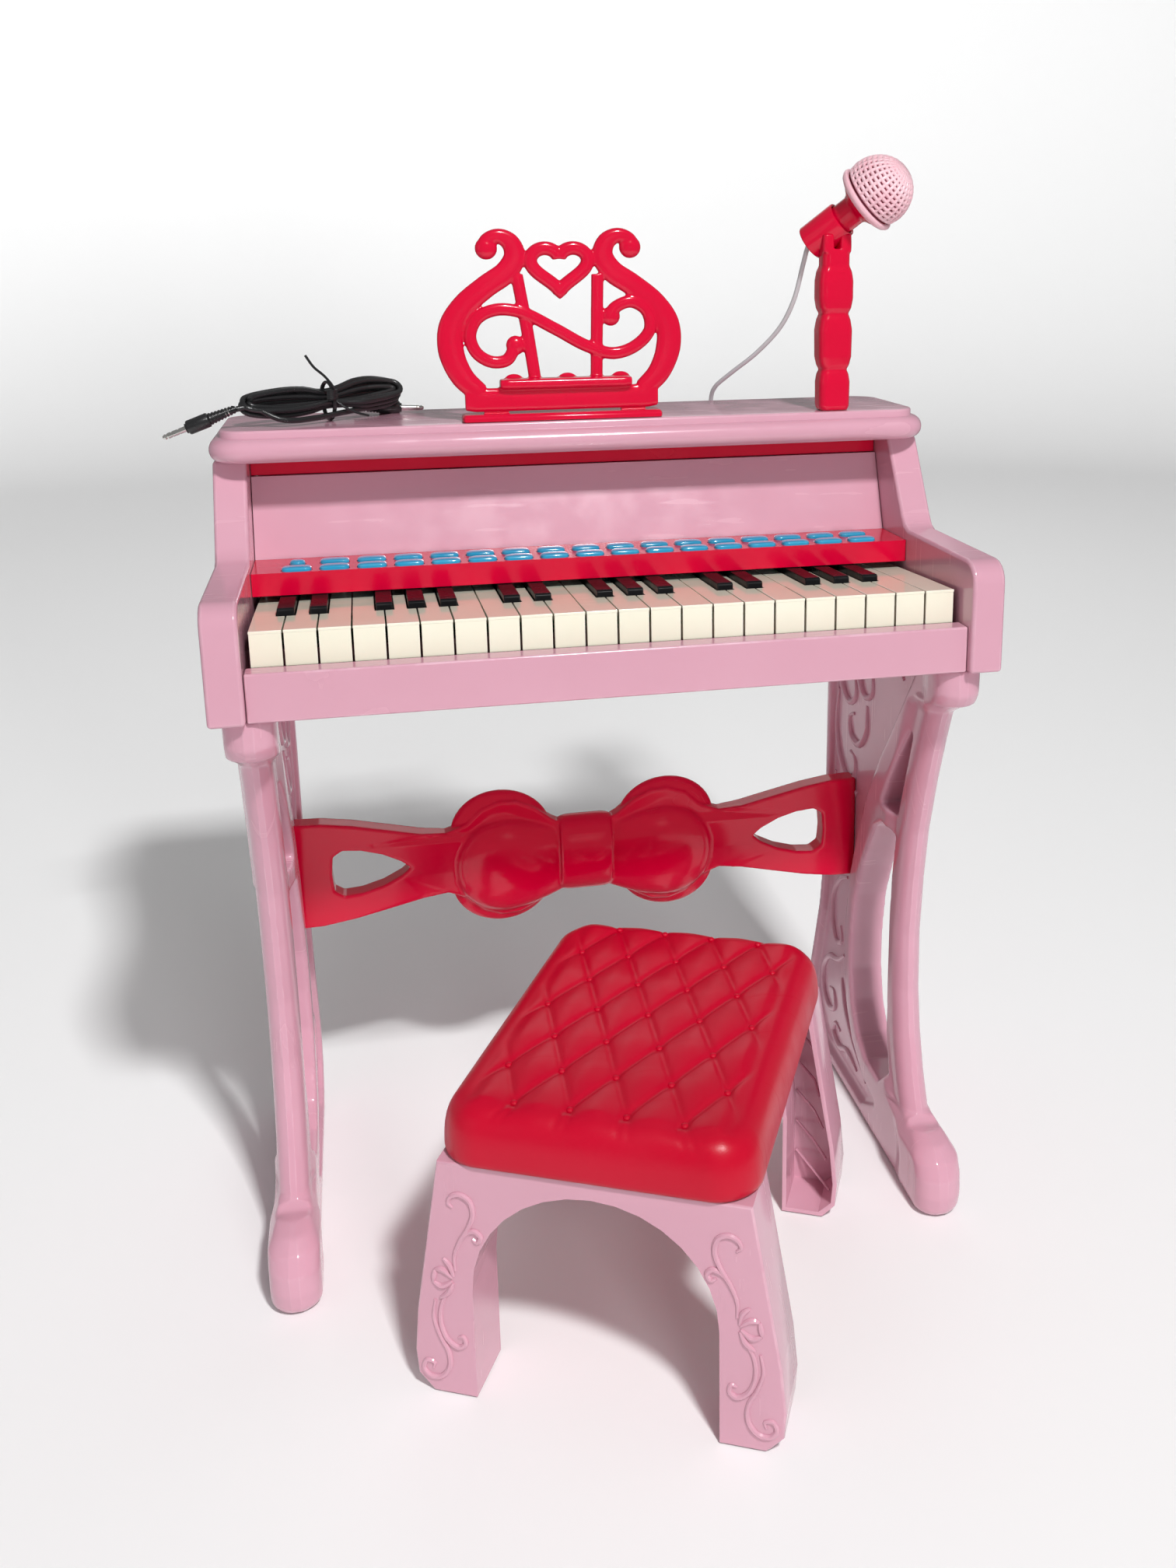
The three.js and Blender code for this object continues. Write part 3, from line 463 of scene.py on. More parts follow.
hank_tilt = math.radians(42)
hank_route = []
for i in range(TURNS * 28 + 1):
    angle = math.tau * i / 28 + math.pi
    lap = i / 28
    nest = 1 - abs((lap / 1.5) % 2 - 1)           # laps lie inside one another, out and in again
    reach = 53.5 - 5.6 * nest
    along = reach * math.cos(angle)
    pinch = 1 - 0.5 * math.exp(-((along - 5) / 15) ** 2)
    wide = (11.6 - 9.0 * nest) * pinch * (1.12 if along > 5 else 0.9)
    plane = wide * math.copysign(abs(math.sin(angle)) ** 0.7, math.sin(angle))
    layer = (lap / (TURNS - 1) - 0.5) * 8.4 * pinch + 0.8 * math.sin(2.3 * lap + along / 17)
    lift = 11.9 + (2.2 if along > 5 else -0.6) * min(abs(along - 5) / 30, 1)
    hank_route.append(on_hank(
        along, plane * math.cos(hank_tilt) - layer * math.sin(hank_tilt),
        min(max(lift + plane * math.sin(hank_tilt) + layer * math.cos(hank_tilt), 2.0), 23.4)))
# The first end leaves low at the left for plug one; the last end dives to plug two.
tail_a = [mm(-203.5, 121.2, 514.6), mm(-199, 122.2, 515.2), mm(-190, 123.5, 513),
          mm(-180, 122, 508), mm(-168, 127, 506.4)]
lead_line = through(tail_a + hank_route[9:], 3)
lead_bm = bmesh.new()
sweep(lead_bm, lead_line, CABLE / 2, 10)
audio_lead = finished("audio_lead", lead_bm, cable_black)
belongs(audio_lead, "console", "black_cable", "audio_lead_hank")

plug_a_foot = mm(-207.8, 121, 513.4)
plug_a_way = Vector((-35, -1, -13)).normalized()
jack = [(0, 0), (2.4, 0.0), (2.4, 26), (1.75, 26.6), (1.75, 30.2), (1.5, 30.4), (1.5, 30.9),
        (1.75, 31.1), (1.75, 34.4), (1.5, 34.6), (1.5, 35.1), (1.75, 35.3), (1.75, 37.2),
        (1.25, 38.0), (1.7, 39.0), (0.9, 40.4), (0, 40.6)]
sleeve = [(0, -4.2), (1.9, -4.2)]
for i in range(8):
    sleeve += [(2.0 + 0.16 * i, -3.6 + 2 * i), (2.45 + 0.16 * i, -3.2 + 2 * i),
               (2.45 + 0.16 * i, -2.4 + 2 * i), (2.05 + 0.16 * i, -2.1 + 2 * i)]
sleeve += [(4.1, 12.4), (4.3, 13), (4.3, 24.4), (3.9, 25.2), (2.9, 25.6), (2.9, 26.4), (0, 26.4)]


def jack_plug(name, foot, way, node):
    """A moulded boot with a ribbed neck, and a three-pole jack standing out of it."""
    jack_bm = bmesh.new()
    turn(jack_bm, [(r / 1000, h / 1000) for r, h in jack], foot, way, 28)
    metal = belongs(finished(name + "_jack", jack_bm, plug_metal, 30), "console", "black_cable")
    boot_bm = bmesh.new()
    turn(boot_bm, [(r / 1000, h / 1000) for r, h in sleeve], foot, way, 28)
    return metal, belongs(finished(name + "_boot", boot_bm, cable_black, 50), "console",
                          "black_cable", node)


plug_a_jack, plug_a_boot = jack_plug("audio_plug_a", plug_a_foot, plug_a_way, "audio_plug_a")
plug_b_jack, plug_b_boot = jack_plug("audio_plug_b", mm(-133, 181, 507.8), Vector((40, 2, -2)),
                                     "audio_plug_b")

tie_bm = bmesh.new()
tie_loop = []
for i in range(41):
    angle = math.tau * i / 20
    tie_loop.append(on_hank(2 + 2.2 * i / 40, 7.9 * math.cos(angle), 11.6 + 11.4 * math.sin(angle)))
sweep(tie_bm, through(tie_loop, 3), 0.0008, 8)
tie_ends = ([on_hank(3, -7.5, 15), on_hank(2, -9.5, 20), on_hank(-3, -9, 27), on_hank(-9, -7, 33),
             on_hank(-13, -5, 40)],
            [on_hank(4, -7.6, 12), on_hank(8, -11, 8), on_hank(14, -13, 4.6), on_hank(22, -15, 2)])
for end in tie_ends:
    sweep(tie_bm, through(end, 6), 0.0008, 8)
for i in range(7):
    knot = [on_hank(1.5 + 3 * math.cos(a), -8.6 + 1.2 * math.sin(a), 13.5 + i * 0.8)
            for a in (0, 1.5, 3, 4.5, 6)]
    sweep(tie_bm, through(knot, 3), 0.0008, 8)
belongs(finished("twist_tie", tie_bm, cable_black), "console", "black_cable")

# Side frames
# Two hollow-backed frames, injection moulded in pale pink plastic: a half-round post on a round
# toe, an arc behind it and a scrolled panel. They screw up into the console's bottom.
pale_pink = plastic("pale pink gloss", (0.62, 0.325, 0.41), (0.59, 0.305, 0.385),
                    (0.74, 0.48, 0.56), gloss=(0.16, 0.27), grain=1100.0, share=0.12,
                    relief=0.0001, coat=0.25, soft=0.04)


def settled(piece):
    """Works a piece's modifiers into its mesh and takes them off."""
    seen = piece.evaluated_get(bpy.context.evaluated_depsgraph_get())
    mesh = bpy.data.meshes.new_from_object(seen)
    piece.modifiers.clear()
    piece.data = mesh
    return piece


def cast(name, node, material, edge=0.0, segments=3, crease=38, outer=None):
    """A moulding in the shape of a CAD node, with its edges rounded by the mould. Where outer
    says which points lie on its outer outline, the edges between those are rounded further."""
    bm = bmesh.new()
    bm.from_mesh(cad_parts[node].data)
    bmesh.ops.remove_doubles(bm, verts=bm.verts, dist=2e-5)
    if outer:
        corners = [e for e in bm.edges if e.is_manifold and e.calc_face_angle() > 0.6
                   and all(outer(v.co) for v in e.verts)]
        bmesh.ops.bevel(bm, geom=corners, offset=0.0045, segments=5, profile=0.5, affect="EDGES",
                        clamp_overlap=True)
    else:
        bmesh.ops.dissolve_limit(bm, angle_limit=math.radians(0.15), verts=bm.verts, edges=bm.edges)
    piece = finished(name, bm, material, crease)
    if edge:
        rounding = piece.modifiers.new("rounded edges", "BEVEL")
        rounding.width = edge
        rounding.segments = segments
        rounding.limit_method = "ANGLE"
        rounding.angle_limit = math.radians(crease)
        rounding.harden_normals = True
        settled(piece)
    return piece


def fused(piece, grain, passes, strength=0.5):
    """Melts overlapping shapes into one moulding with soft inner corners."""
    melt = piece.modifiers.new("melt", "REMESH")
    melt.mode = "VOXEL"
    melt.voxel_size = grain
    melt.use_smooth_shade = True
    relax = piece.modifiers.new("relax", "SMOOTH")
    relax.iterations = passes
    relax.factor = strength
    return settled(piece)


def between(table, value):
    """Reads a falling or rising value from a short list of (place, value) pairs."""
    for (a, low), (b, high) in zip(table, table[1:]):
        if value <= b:
            return low + (high - low) * min(max((value - a) / (b - a), 0), 1)
    return table[-1][1]


FRAME_FRONT = [(0, -10), (4, -13), (14, -15), (26, -14), (36, -9), (43, 0), (46, 12), (48, 30),
               (70, 40), (96, 48), (125, 53), (165, 54), (205, 50), (240, 44), (277, 33),
               (312, 20), (331, 12), (337, 2), (341, -9), (348, -13), (364, -13)]
POST_WIDTH = [(0, 1.1), (6, 1.2), (36, 1.2), (46, 0.76), (330, 0.74), (338, 1.12), (364, 1.14)]
SCROLLS = [
    [(62, 338), (88, 350), (118, 350), (140, 336), (144, 318), (132, 306), (119, 311), (118, 322),
     (127, 326)],
    [(150, 350), (172, 344), (184, 326), (180, 304), (164, 293), (151, 300), (152, 312), (162, 314)],
    [(128, 300), (128, 282), (142, 268), (158, 270), (162, 282), (153, 287)],
    [(186, 296), (190, 270), (180, 246), (163, 236), (150, 242), (150, 254), (160, 257)],
    [(146, 232), (160, 218), (176, 214), (184, 222), (178, 231)],
    [(190, 232), (193, 205), (186, 182), (172, 172), (162, 180), (166, 190), (174, 188)],
    [(160, 160), (176, 152), (190, 134), (190, 112), (180, 100), (170, 106), (173, 116)],
    [(164, 96), (178, 86), (196, 80), (210, 64), (208, 46), (194, 38), (182, 45), (186, 56),
     (195, 54)],
    [(168, 76), (160, 60), (144, 44), (126, 31), (112, 22)],
    [(132, 20), (152, 24), (170, 18), (184, 24), (180, 32), (170, 31)]]


def side_frame(name, node, side):
    piece = cast(name, node, pale_pink)
    fused(piece, 0.0015, 3)
    low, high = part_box(node)
    middle = (low.x + high.x) / 2
    for vertex in piece.data.vertices:
        height = vertex.co.z * 1000
        behind = (vertex.co.y - keys_front) * 1000 - between(FRAME_FRONT, height)
        depth = min(max(behind / 13, 0), 1)
        around = math.sqrt(max(1 - (1 - depth) ** 2, 0.06))
        slim = between(POST_WIDTH, height)
        fade = min(max((behind - (40 if height < 46 else 20)) / 12, 0), 1)
        share = (slim + (1 - slim) * fade) * (around + (1 - around) * min(max((behind - 13) / 4, 0), 1))
        vertex.co.x = middle + (vertex.co.x - middle) * share
    relax = piece.modifiers.new("relax", "SMOOTH")
    relax.iterations = 3
    settled(piece)
    belongs(piece, "console", "pale_pink_plastic", node)
    vine_bm = bmesh.new()
    for inner in (True, False):
        face = (low.x if side > 0 else high.x) if inner else (high.x if side > 0 else low.x)
        inward = side if inner else -side
        sunk = 0.0052 if inner else -0.0002
        for stroke in SCROLLS:
            line = [Vector((face + inward * sunk, keys_front + y / 1000, z / 1000)) for y, z in stroke]
            thick = lambda t: 0.0013 + 0.0016 * math.sin(math.pi * min(t * 1.15, 1)) ** 0.8
            sweep(vine_bm, through(line, 7), thick, 10, up=(1, 0, 0))
    vines = finished(name + "_scrolls", vine_bm, pale_pink)
    belongs(vines, "console", "pale_pink_plastic")


side_frame("side_frame_left", "leg_left", -1)
side_frame("side_frame_right", "leg_right", 1)

# Bow brace
# A crimson bow, hollow moulded and glossy, that ties the two side frames together. Its loops
# bulge to the front, and its ribbons end in flat tabs with drop-shaped windows.
crimson = plastic("crimson gloss", (0.62, 0.0, 0.032), (0.575, 0.0, 0.027),
                  (0.7, 0.01, 0.06), gloss=(0.12, 0.22), grain=1100.0, share=0.12,
                  relief=0.00012, coat=0.15, specular=0.4)


def lobe(bm, centre, halves, lean=0.0, around=40, rows=24):
    """An egg-shaped swelling, turned by lean about Y."""
    tilt = (math.cos(lean), math.sin(lean))
    rings = []
    for j in range(rows + 1):
        polar = math.pi * j / rows
        count = 1 if j in (0, rows) else around
        ring = []
        for i in range(count):
            angle = math.tau * i / around
            x = halves[0] * math.sin(polar) * math.cos(angle)
            z = -halves[2] * math.cos(polar)
            y = halves[1] * math.sin(polar) * math.sin(angle)
            ring.append(bm.verts.new(Vector(centre) + Vector((
                x * tilt[0] - z * tilt[1], y, x * tilt[1] + z * tilt[0]))))
        rings.append(ring)
    skinned(bm, rings, ends=False)


brace_low, brace_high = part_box("bow_brace")
brace_y = (brace_low.y + brace_high.y) / 2
brace_z = (brace_low.z + brace_high.z) / 2
brace = cast("brace plate", "bow_brace", crimson, 0.0042, 4)
bow_bm = bmesh.new()
bow_bm.from_mesh(brace.data)
bpy.data.objects.remove(brace)
for vertex in bow_bm.verts:
    thin = 0.7 if abs(vertex.co.x) < 0.1 else 0.9
    tuck = 0.86 if abs(vertex.co.x) < 0.086 else 1.0   # hidden inside the loops
    vertex.co.y = brace_y + (vertex.co.y - brace_y) * thin
    vertex.co.z = brace_z + (vertex.co.z - brace_z) * tuck
for side in (-1, 1):
    for way in (1, -1):
        lobe(bow_bm, (side * 0.0565, brace_y + 0.001, brace_z + way * 0.0165),
             (0.0345, 0.0078, 0.0305), way * side * 0.12)
    rings = []
    for i in range(37):
        t = i / 36
        round_end = math.sqrt(max(1 - max((t - 0.5) / 0.5, 0) ** 2.4, 0))
        swell = math.sin(math.pi / 2 * min(t / 0.6, 1))
        half = (0.0205 + 0.0125 * swell) * round_end + 0.0004
        bulge = (0.0062 + 0.0078 * swell) * round_end ** 0.6 + 0.0004
        rings.append([bow_bm.verts.new((
            side * (0.012 + 0.077 * t),
            brace_y - 0.001 - bulge * (abs(math.sin(math.tau * j / 40)) ** 0.62 if j > 20
                                       else -0.5 * math.sin(math.tau * j / 40)),
            brace_z - 0.0045 + half * math.cos(math.tau * j / 40))) for j in range(40)])
    skinned(bow_bm, rings)
knot_path = [Vector((-0.0175 + 0.035 * i / 20, brace_y - 0.001, brace_z - 0.001)) for i in range(21)]
knot_swell = lambda t: 0.0272 - 0.0016 * (2 * t - 1) ** 6
sweep(bow_bm, knot_path, knot_swell, 48, flat=0.52, up=(0, 1, 0))
bmesh.ops.recalc_face_normals(bow_bm, faces=bow_bm.faces)
bow = fused(finished("bow_brace_moulding", bow_bm, crimson), 0.0009, 3)
belongs(bow, "console", "crimson_plastic", "bow_brace")

# Console box
# Two cheeks, a key slip, a bottom tray and a back cover of pale pink plastic, held by two rows
# of screws in the back cover. The battery box and the speaker inside are dark plastic.
for node, edge in (("cheek_left", 0.0022), ("cheek_right", 0.0022), ("key_slip", 0.0012),
                   ("bottom_tray", 0.0006), ("back_cover", 0.0005), ("battery_door", 0.0006)):
    belongs(cast(node + "_moulding", node, pale_pink, edge, 4), "console", "pale_pink_plastic", node)
dark_plastic = plastic("dark textured plastic", (0.03, 0.03, 0.032), (0.045, 0.045, 0.048),
                       (0.1, 0.1, 0.1), gloss=(0.4, 0.6), grain=1400.0, share=1.5)


def recoated(node, material):
    """A CAD part that keeps its shape and takes a better material."""
    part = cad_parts[node]
    part.data.materials.clear()
    part.data.materials.append(material)


recoated("battery_box", dark_plastic)
recoated("speaker", dark_plastic)


def geometry_group(name, inputs):
    """An empty geometry node group with a mesh in, named inputs and a mesh out."""
    tree = bpy.data.node_groups.new(name, "GeometryNodeTree")
    tree.interface.new_socket("Geometry", in_out="INPUT", socket_type="NodeSocketGeometry")
    for label, kind, value in inputs:
        socket = tree.interface.new_socket(label, in_out="INPUT", socket_type=kind)
        if value is not None:
            socket.default_value = value
    tree.interface.new_socket("Geometry", in_out="OUTPUT", socket_type="NodeSocketGeometry")
    return tree, tree.nodes.new("NodeGroupInput"), tree.nodes.new("NodeGroupOutput")


def worked(piece, tree, **values):
    """Runs a geometry node group on a piece with the given inputs and keeps the plain result."""
    step = piece.modifiers.new(tree.name, "NODES")
    step.node_group = tree
    for item in tree.interface.items_tree:
        key = item.name.replace(" ", "_").lower()
        if item.item_type == "SOCKET" and item.in_out == "INPUT" and key in values:
            step[item.identifier] = values[key]
    return settled(piece)


def ends_in(tree, geometry, given, out):
    """Finishes a geometry node group: real meshes, in their material."""
    real = tree.nodes.new("GeometryNodeRealizeInstances")
    paint = tree.nodes.new("GeometryNodeSetMaterial")
    tree.links.new(geometry, real.inputs["Geometry"])
    tree.links.new(real.outputs["Geometry"], paint.inputs["Geometry"])
    tree.links.new(given.outputs["Material"], paint.inputs["Material"])
    tree.links.new(paint.outputs["Geometry"], out.inputs["Geometry"])


# A part set again and again along a straight row.
row_tree, row_in, row_out = geometry_group("Set in a row", [
    ("Count", "NodeSocketInt", 17), ("First", "NodeSocketVector", (0, 0, 0)),
    ("Step", "NodeSocketVector", (0.02, 0, 0)), ("Material", "NodeSocketMaterial", None)])
row_line = row_tree.nodes.new("GeometryNodeMeshLine")
row_put = row_tree.nodes.new("GeometryNodeInstanceOnPoints")
row_tree.links.new(row_in.outputs["Count"], row_line.inputs["Count"])
row_tree.links.new(row_in.outputs["First"], row_line.inputs["Start Location"])
row_tree.links.new(row_in.outputs["Step"], row_line.inputs["Offset"])
row_tree.links.new(row_line.outputs["Mesh"], row_put.inputs["Points"])
row_tree.links.new(row_in.outputs["Geometry"], row_put.inputs["Instance"])
ends_in(row_tree, row_put.outputs["Instances"], row_in, row_out)

cover_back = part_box("back_cover")[1].y
for name, height in (("upper", 474), ("lower", 376)):
    screw_bm = bmesh.new()
    turn(screw_bm, [(0, -0.001), (0.0032, -0.001), (0.0032, 0.0001), (0.0026, 0.0009), (0.0015, 0.0012),
                    (0.0013, 0.0006), (0, 0.0005)], (0, 0, 0), (0, 1, 0), 20)
    screws = worked(finished("back_screws_" + name, screw_bm, plug_metal), row_tree, count=5,
                    first=(-0.18, cover_back - 0.0002, height / 1000), step=(0.09, 0, 0),
                    material=plug_metal)
    belongs(screws, "console", "pale_pink_plastic")

# Keyboard
# Twenty-two cream keys and fifteen black ones, moulded as levers over a circuit board and its
# rubber strip. A white key is a smooth top plate on a skirt that stands back a hair.
ivory = plastic("cream key plastic", (0.84, 0.82, 0.68), (0.80, 0.78, 0.63), (0.9, 0.88, 0.8),
                gloss=(0.07, 0.14), grain=1500.0, share=0.1, relief=0.00003, soft=0.05)
key_black = plastic("black key gloss", (0.006, 0.006, 0.007), (0.01, 0.01, 0.011),
                    (0.08, 0.08, 0.08), gloss=(0.25, 0.36), grain=1500.0, share=0.1,
                    relief=0.00008, specular=0.06, rub=0.2)
board_green = plastic("green circuit board", (0.01, 0.16, 0.06), (0.015, 0.2, 0.08),
                      (0.2, 0.4, 0.2), gloss=(0.3, 0.5), grain=1600.0, share=0.6)
recoated("circuit_board", board_green)
SLOPE = 0.06      # how far the keys fall for each metre to the rear
PLATE = 0.0017    # thickness of a white key's top plate
INSET = 0.00018   # how far the skirt stands back under it
BITE = 0.0006     # how deep the skirt reaches up into the plate


def prism(bm, plan, low, high):
    """A closed upright block over a plan given anticlockwise; low and high are its heights."""
    floor = [bm.verts.new((x, y, low)) for x, y in plan]
    roof = [bm.verts.new((x, y, high)) for x, y in plan]
    bm.faces.new(floor[::-1])
    bm.faces.new(roof)
    for i in range(len(plan)):
        j = (i + 1) % len(plan)
        bm.faces.new((floor[i], floor[j], roof[j], roof[i]))


white_nodes = sorted(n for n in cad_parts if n.startswith("white_key"))
key_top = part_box(white_nodes[0])[1].z
for node in white_nodes:
    low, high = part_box(node)
    corners = {(round(v.co.x, 5), round(v.co.y, 5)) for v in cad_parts[node].data.vertices}
    rear = [x for x, y in corners if y > high.y - 0.001]
    notch = min((y for x, y in corners if low.y + 0.01 < y < high.y - 0.01), default=high.y)
    plan = [(low.x, low.y), (high.x, low.y), (high.x, notch), (max(rear), notch),
            (max(rear), high.y), (min(rear), high.y), (min(rear), notch), (low.x, notch)]
    plan = [p for i, p in enumerate(plan) if p != plan[i - 1]]
    key_bm = bmesh.new()
    prism(key_bm, plan, key_top - PLATE, key_top)
    skirt = [(x + (INSET if x < (low.x + high.x) / 2 else -INSET), y + (INSET if y < low.y + 1e-4 else 0))
             for x, y in plan]
    prism(key_bm, [skirt[0], skirt[1], (skirt[1][0], low.y + 0.004), (skirt[0][0], low.y + 0.004)],
          key_top - 0.0199, key_top - BITE)
    under = [(x, max(y, low.y + 0.0016)) for x, y in skirt]
    prism(key_bm, under, key_top - 0.005, key_top - BITE)
    for vertex in key_bm.verts:
        vertex.co.z -= SLOPE * (vertex.co.y - low.y)
    key = finished(node + "_lever", key_bm, ivory, 30)
    rounding = key.modifiers.new("rounded edges", "BEVEL")
    rounding.width = 0.00038
    rounding.segments = 3
    rounding.limit_method = "ANGLE"
    rounding.harden_normals = True
    settled(key)
    belongs(key, node, "ivory_plastic", node)

for node in sorted(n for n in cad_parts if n.startswith("black_keys")):
    low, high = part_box(node)
    key = cast(node + "_comb", node, key_black, 0.0009, 4, 25)
    belongs(key, node, "black_gloss", node)

# Control panel and buttons
# A crimson angle covers the keys' rear. Rows of domed cyan buttons, each row one moulding on a
# strip under the panel, stand through its holes; a small round button turns the toy on.
belongs(cast("control_panel_moulding", "control_panel", crimson, 0.0005, 2), "console",
        "crimson_plastic", "control_panel")
cyan = plastic("cyan button gloss", (0.02, 0.30, 0.52), (0.015, 0.26, 0.46), (0.2, 0.55, 0.7),
               gloss=(0.1, 0.2), grain=1500.0, share=0.1, relief=0.00008, coat=0.5, rub=0.3)


def rounded(half_x, half_y, corner, steps=6):
    """An upright rectangle with round corners, anticlockwise about the origin."""
    points = []
    for sx, sy, start in ((1, 1, 0), (-1, 1, 90), (-1, -1, 180), (1, -1, 270)):
        for i in range(steps + 1):
            angle = math.radians(start + 90 * i / steps)
            points.append((sx * (half_x - corner) + corner * math.cos(angle),
                           sy * (half_y - corner) + corner * math.sin(angle)))
    return points


def loft(bm, levels):
    """A closed body through rings of points, foot to head, each ring anticlockwise from above."""
    skinned(bm, [[bm.verts.new(p) for p in ring] for ring in levels])


def domed_cap(half_x, half_y, corner, height):
    """One button cap: straight sides and a pillowed top."""
    bm = bmesh.new()
    levels = []
    for inset, z in ((0, -0.0075), (0, height * 0.45), (0.03, height * 0.62), (0.1, height * 0.78),
                     (0.22, height * 0.89), (0.42, height * 0.965), (0.68, height * 0.99),
                     (0.9, height)):
        levels.append([(x * (1 - inset), y * (1 - inset), z)
                       for x, y in rounded(half_x, half_y, corner)])
    loft(bm, levels)
    return bm


panel_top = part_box("control_panel")[1].z
for node, body, count in (("front_button_row", "front_buttons", 17),
                          ("rear_button_row", "rear_buttons", 16)):
    low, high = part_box(node)
    pitch = 0.0217
    middle_y = (low.y + high.y) / 2
    caps = finished(node + "_caps", domed_cap(0.0085, 0.0045, 0.0034, high.z - panel_top), cyan)
    worked(caps, row_tree, count=count, first=(low.x + 0.0085, middle_y, panel_top),
           step=(pitch, 0, 0), material=cyan)
    belongs(caps, body, "cyan_plastic", node)
    strip_bm = bmesh.new()
    loft(strip_bm, [[((low.x + high.x) / 2 + x, middle_y + y, z) for x, y in
                     rounded((high.x - low.x) / 2 - 0.0002, 0.004, 0.001, 2)]
                    for z in (low.z, low.z + 0.0016)])
    belongs(finished(node + "_strip", strip_bm, cyan), body, "cyan_plastic")
low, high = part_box("power_button")
power_bm = bmesh.new()
turn(power_bm, [(0, low.z), (0.0045, low.z), (0.0045, high.z - 0.0016), (0.0041, high.z - 0.0008),
                (0.0032, high.z - 0.0002), (0.002, high.z), (0, high.z)],
     ((low.x + high.x) / 2, (low.y + high.y) / 2, 0), around=36)
belongs(finished("power_button_cap", power_bm, cyan), "power_button", "cyan_plastic", "power_button")

# Fallboard, rail and lid
# The fallboard leans back over the buttons. A crimson rail closes it to the lid, which is one
# hollow moulding: a full round bullnose with a low step on top.
belongs(cast("fallboard_panel", "fallboard", pale_pink, 0.0004, 2), "console",
        "pale_pink_plastic", "fallboard")
belongs(cast("upper_rail_strip", "upper_rail", crimson, 0.0004, 2), "console",
        "crimson_plastic", "upper_rail")
lid_low, lid_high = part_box("lid")
lid_middle = (lid_low + lid_high) / 2
lid_half = (lid_high - lid_low) / 2
lid_bm = bmesh.new()
lid_levels = []
step_z = lid_high.z - 0.0046
profile = [(0.0085, lid_low.z)]
for i in range(13):
    angle = math.radians(-78 + 156 * i / 12)
    profile.append((0.0062 - 0.0062 * math.cos(angle),
                    (lid_low.z + step_z) / 2 + (step_z - lid_low.z) / 2 * math.sin(angle) / 0.978))
profile += [(0.0061, step_z + 0.0001), (0.0063, step_z + 0.0006), (0.0063, lid_high.z - 0.0013),
            (0.0066, lid_high.z - 0.0006), (0.0072, lid_high.z - 0.0001), (0.008, lid_high.z)]
for inset, z in profile:
    lid_levels.append([(lid_middle.x + x, lid_middle.y + y, z) for x, y in
                       rounded(lid_half.x - inset, lid_half.y - inset, 0.02 - inset * 0.6, 10)])
loft(lid_bm, lid_levels)
belongs(finished("lid_moulding", lid_bm, pale_pink, 32), "console", "pale_pink_plastic", "lid")

# Music rest
# A crimson lyre-like rest, moulded as one openwork piece with a ledge for the music. Two lugs
# on its base hold it by a pin, so that it folds back flat on the lid.
rest_low, rest_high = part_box("music_rest")
rest_x = (rest_low.x + rest_high.x) / 2
rest_back = rest_high.y
rest_depth = 0.006
rest_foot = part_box("lid")[1].z
belongs(cast("music_rest_foot", "music_rest_base", crimson, 0.0006, 3), "console",
        "crimson_plastic", "music_rest_base")


def on_rest(u, v, back=0.0):
    return Vector((rest_x + u / 1000, rest_back - rest_depth / 2 - back, rest_foot + v / 1000))


def ribbon(bm, points, widths, half_depth=0.003, steps=8, forward=0.0):
    """A strap of changing width with full round edges, lying in the plane of the rest."""
    line = through([on_rest(u, v, forward) for u, v in points], steps)

    def half_width(t):
        place = t * (len(widths) - 1)
        i = min(int(place), len(widths) - 2)
        return (widths[i] + (widths[i + 1] - widths[i]) * (place - i)) / 2000
    rings = []
    for i, spot in enumerate(line):
        way = (line[min(i + 1, len(line) - 1)] - line[max(i - 1, 0)]).normalized()
        out = way.cross(Vector((0, 1, 0))).normalized()
        half = half_width(i / (len(line) - 1))
        ring = []
        for j in range(20):
            angle = math.tau * j / 20
            wide = math.copysign(abs(math.cos(angle)) ** 0.75, math.cos(angle)) * half
            deep = math.copysign(abs(math.sin(angle)) ** 0.8, math.sin(angle)) * half_depth
            ring.append(bm.verts.new(spot + out * wide + Vector((0, deep, 0))))
        rings.append(ring)
    skinned(bm, rings)


rest_bm = bmesh.new()
rest_side = [(-50, 17), (-60, 27), (-66, 42), (-65.5, 56), (-58, 68), (-44, 79.5), (-31.5, 88),
             (-26.3, 97), (-29, 105), (-36.5, 108.5), (-43.5, 105), (-43, 101)]
side_widths = [12, 14, 15.5, 15, 14, 13.5, 13.5, 13, 11, 8.5, 8, 8]
for flip in (1, -1):
    ribbon(rest_bm, [(u * flip, v) for u, v in rest_side], side_widths)
    lobe(rest_bm, on_rest(43 * flip, 101.5), (0.0066, 0.0038, 0.0066))
scroll = [(-29, 42), (-33, 36.5), (-42, 35.5), (-51, 41), (-54.5, 51), (-50, 61), (-39, 66),
          (-24, 64.5), (-4, 54.5), (16, 43.5), (32, 39), (46, 43.5), (54.5, 53), (52.5, 64),
          (43, 69.5), (33, 66), (29.5, 61)]
ribbon(rest_bm, scroll, [7.5] * 17, 0.0028, forward=0.0006)
lobe(rest_bm, on_rest(-27.5, 45), (0.0058, 0.0034, 0.0058))
lobe(rest_bm, on_rest(30.5, 61), (0.0058, 0.0034, 0.0058))
ribbon(rest_bm, [(-25.5, 86), (-20.5, 55), (-15.5, 18)], [7.5, 7.5, 7.5], 0.0024)
ribbon(rest_bm, [(23, 86), (22, 55), (21, 18)], [7.5, 7.5, 7.5], 0.0024)
heart = []
for i in range(33):
    t = math.tau * i / 32
    wide = math.sin(t) ** 3
    tall = (13 * math.cos(t) - 5 * math.cos(2 * t) - 2 * math.cos(3 * t) - math.cos(4 * t)) / 16
    heart.append((17.2 * wide, 90.6 + 17.2 * 0.83 * tall))
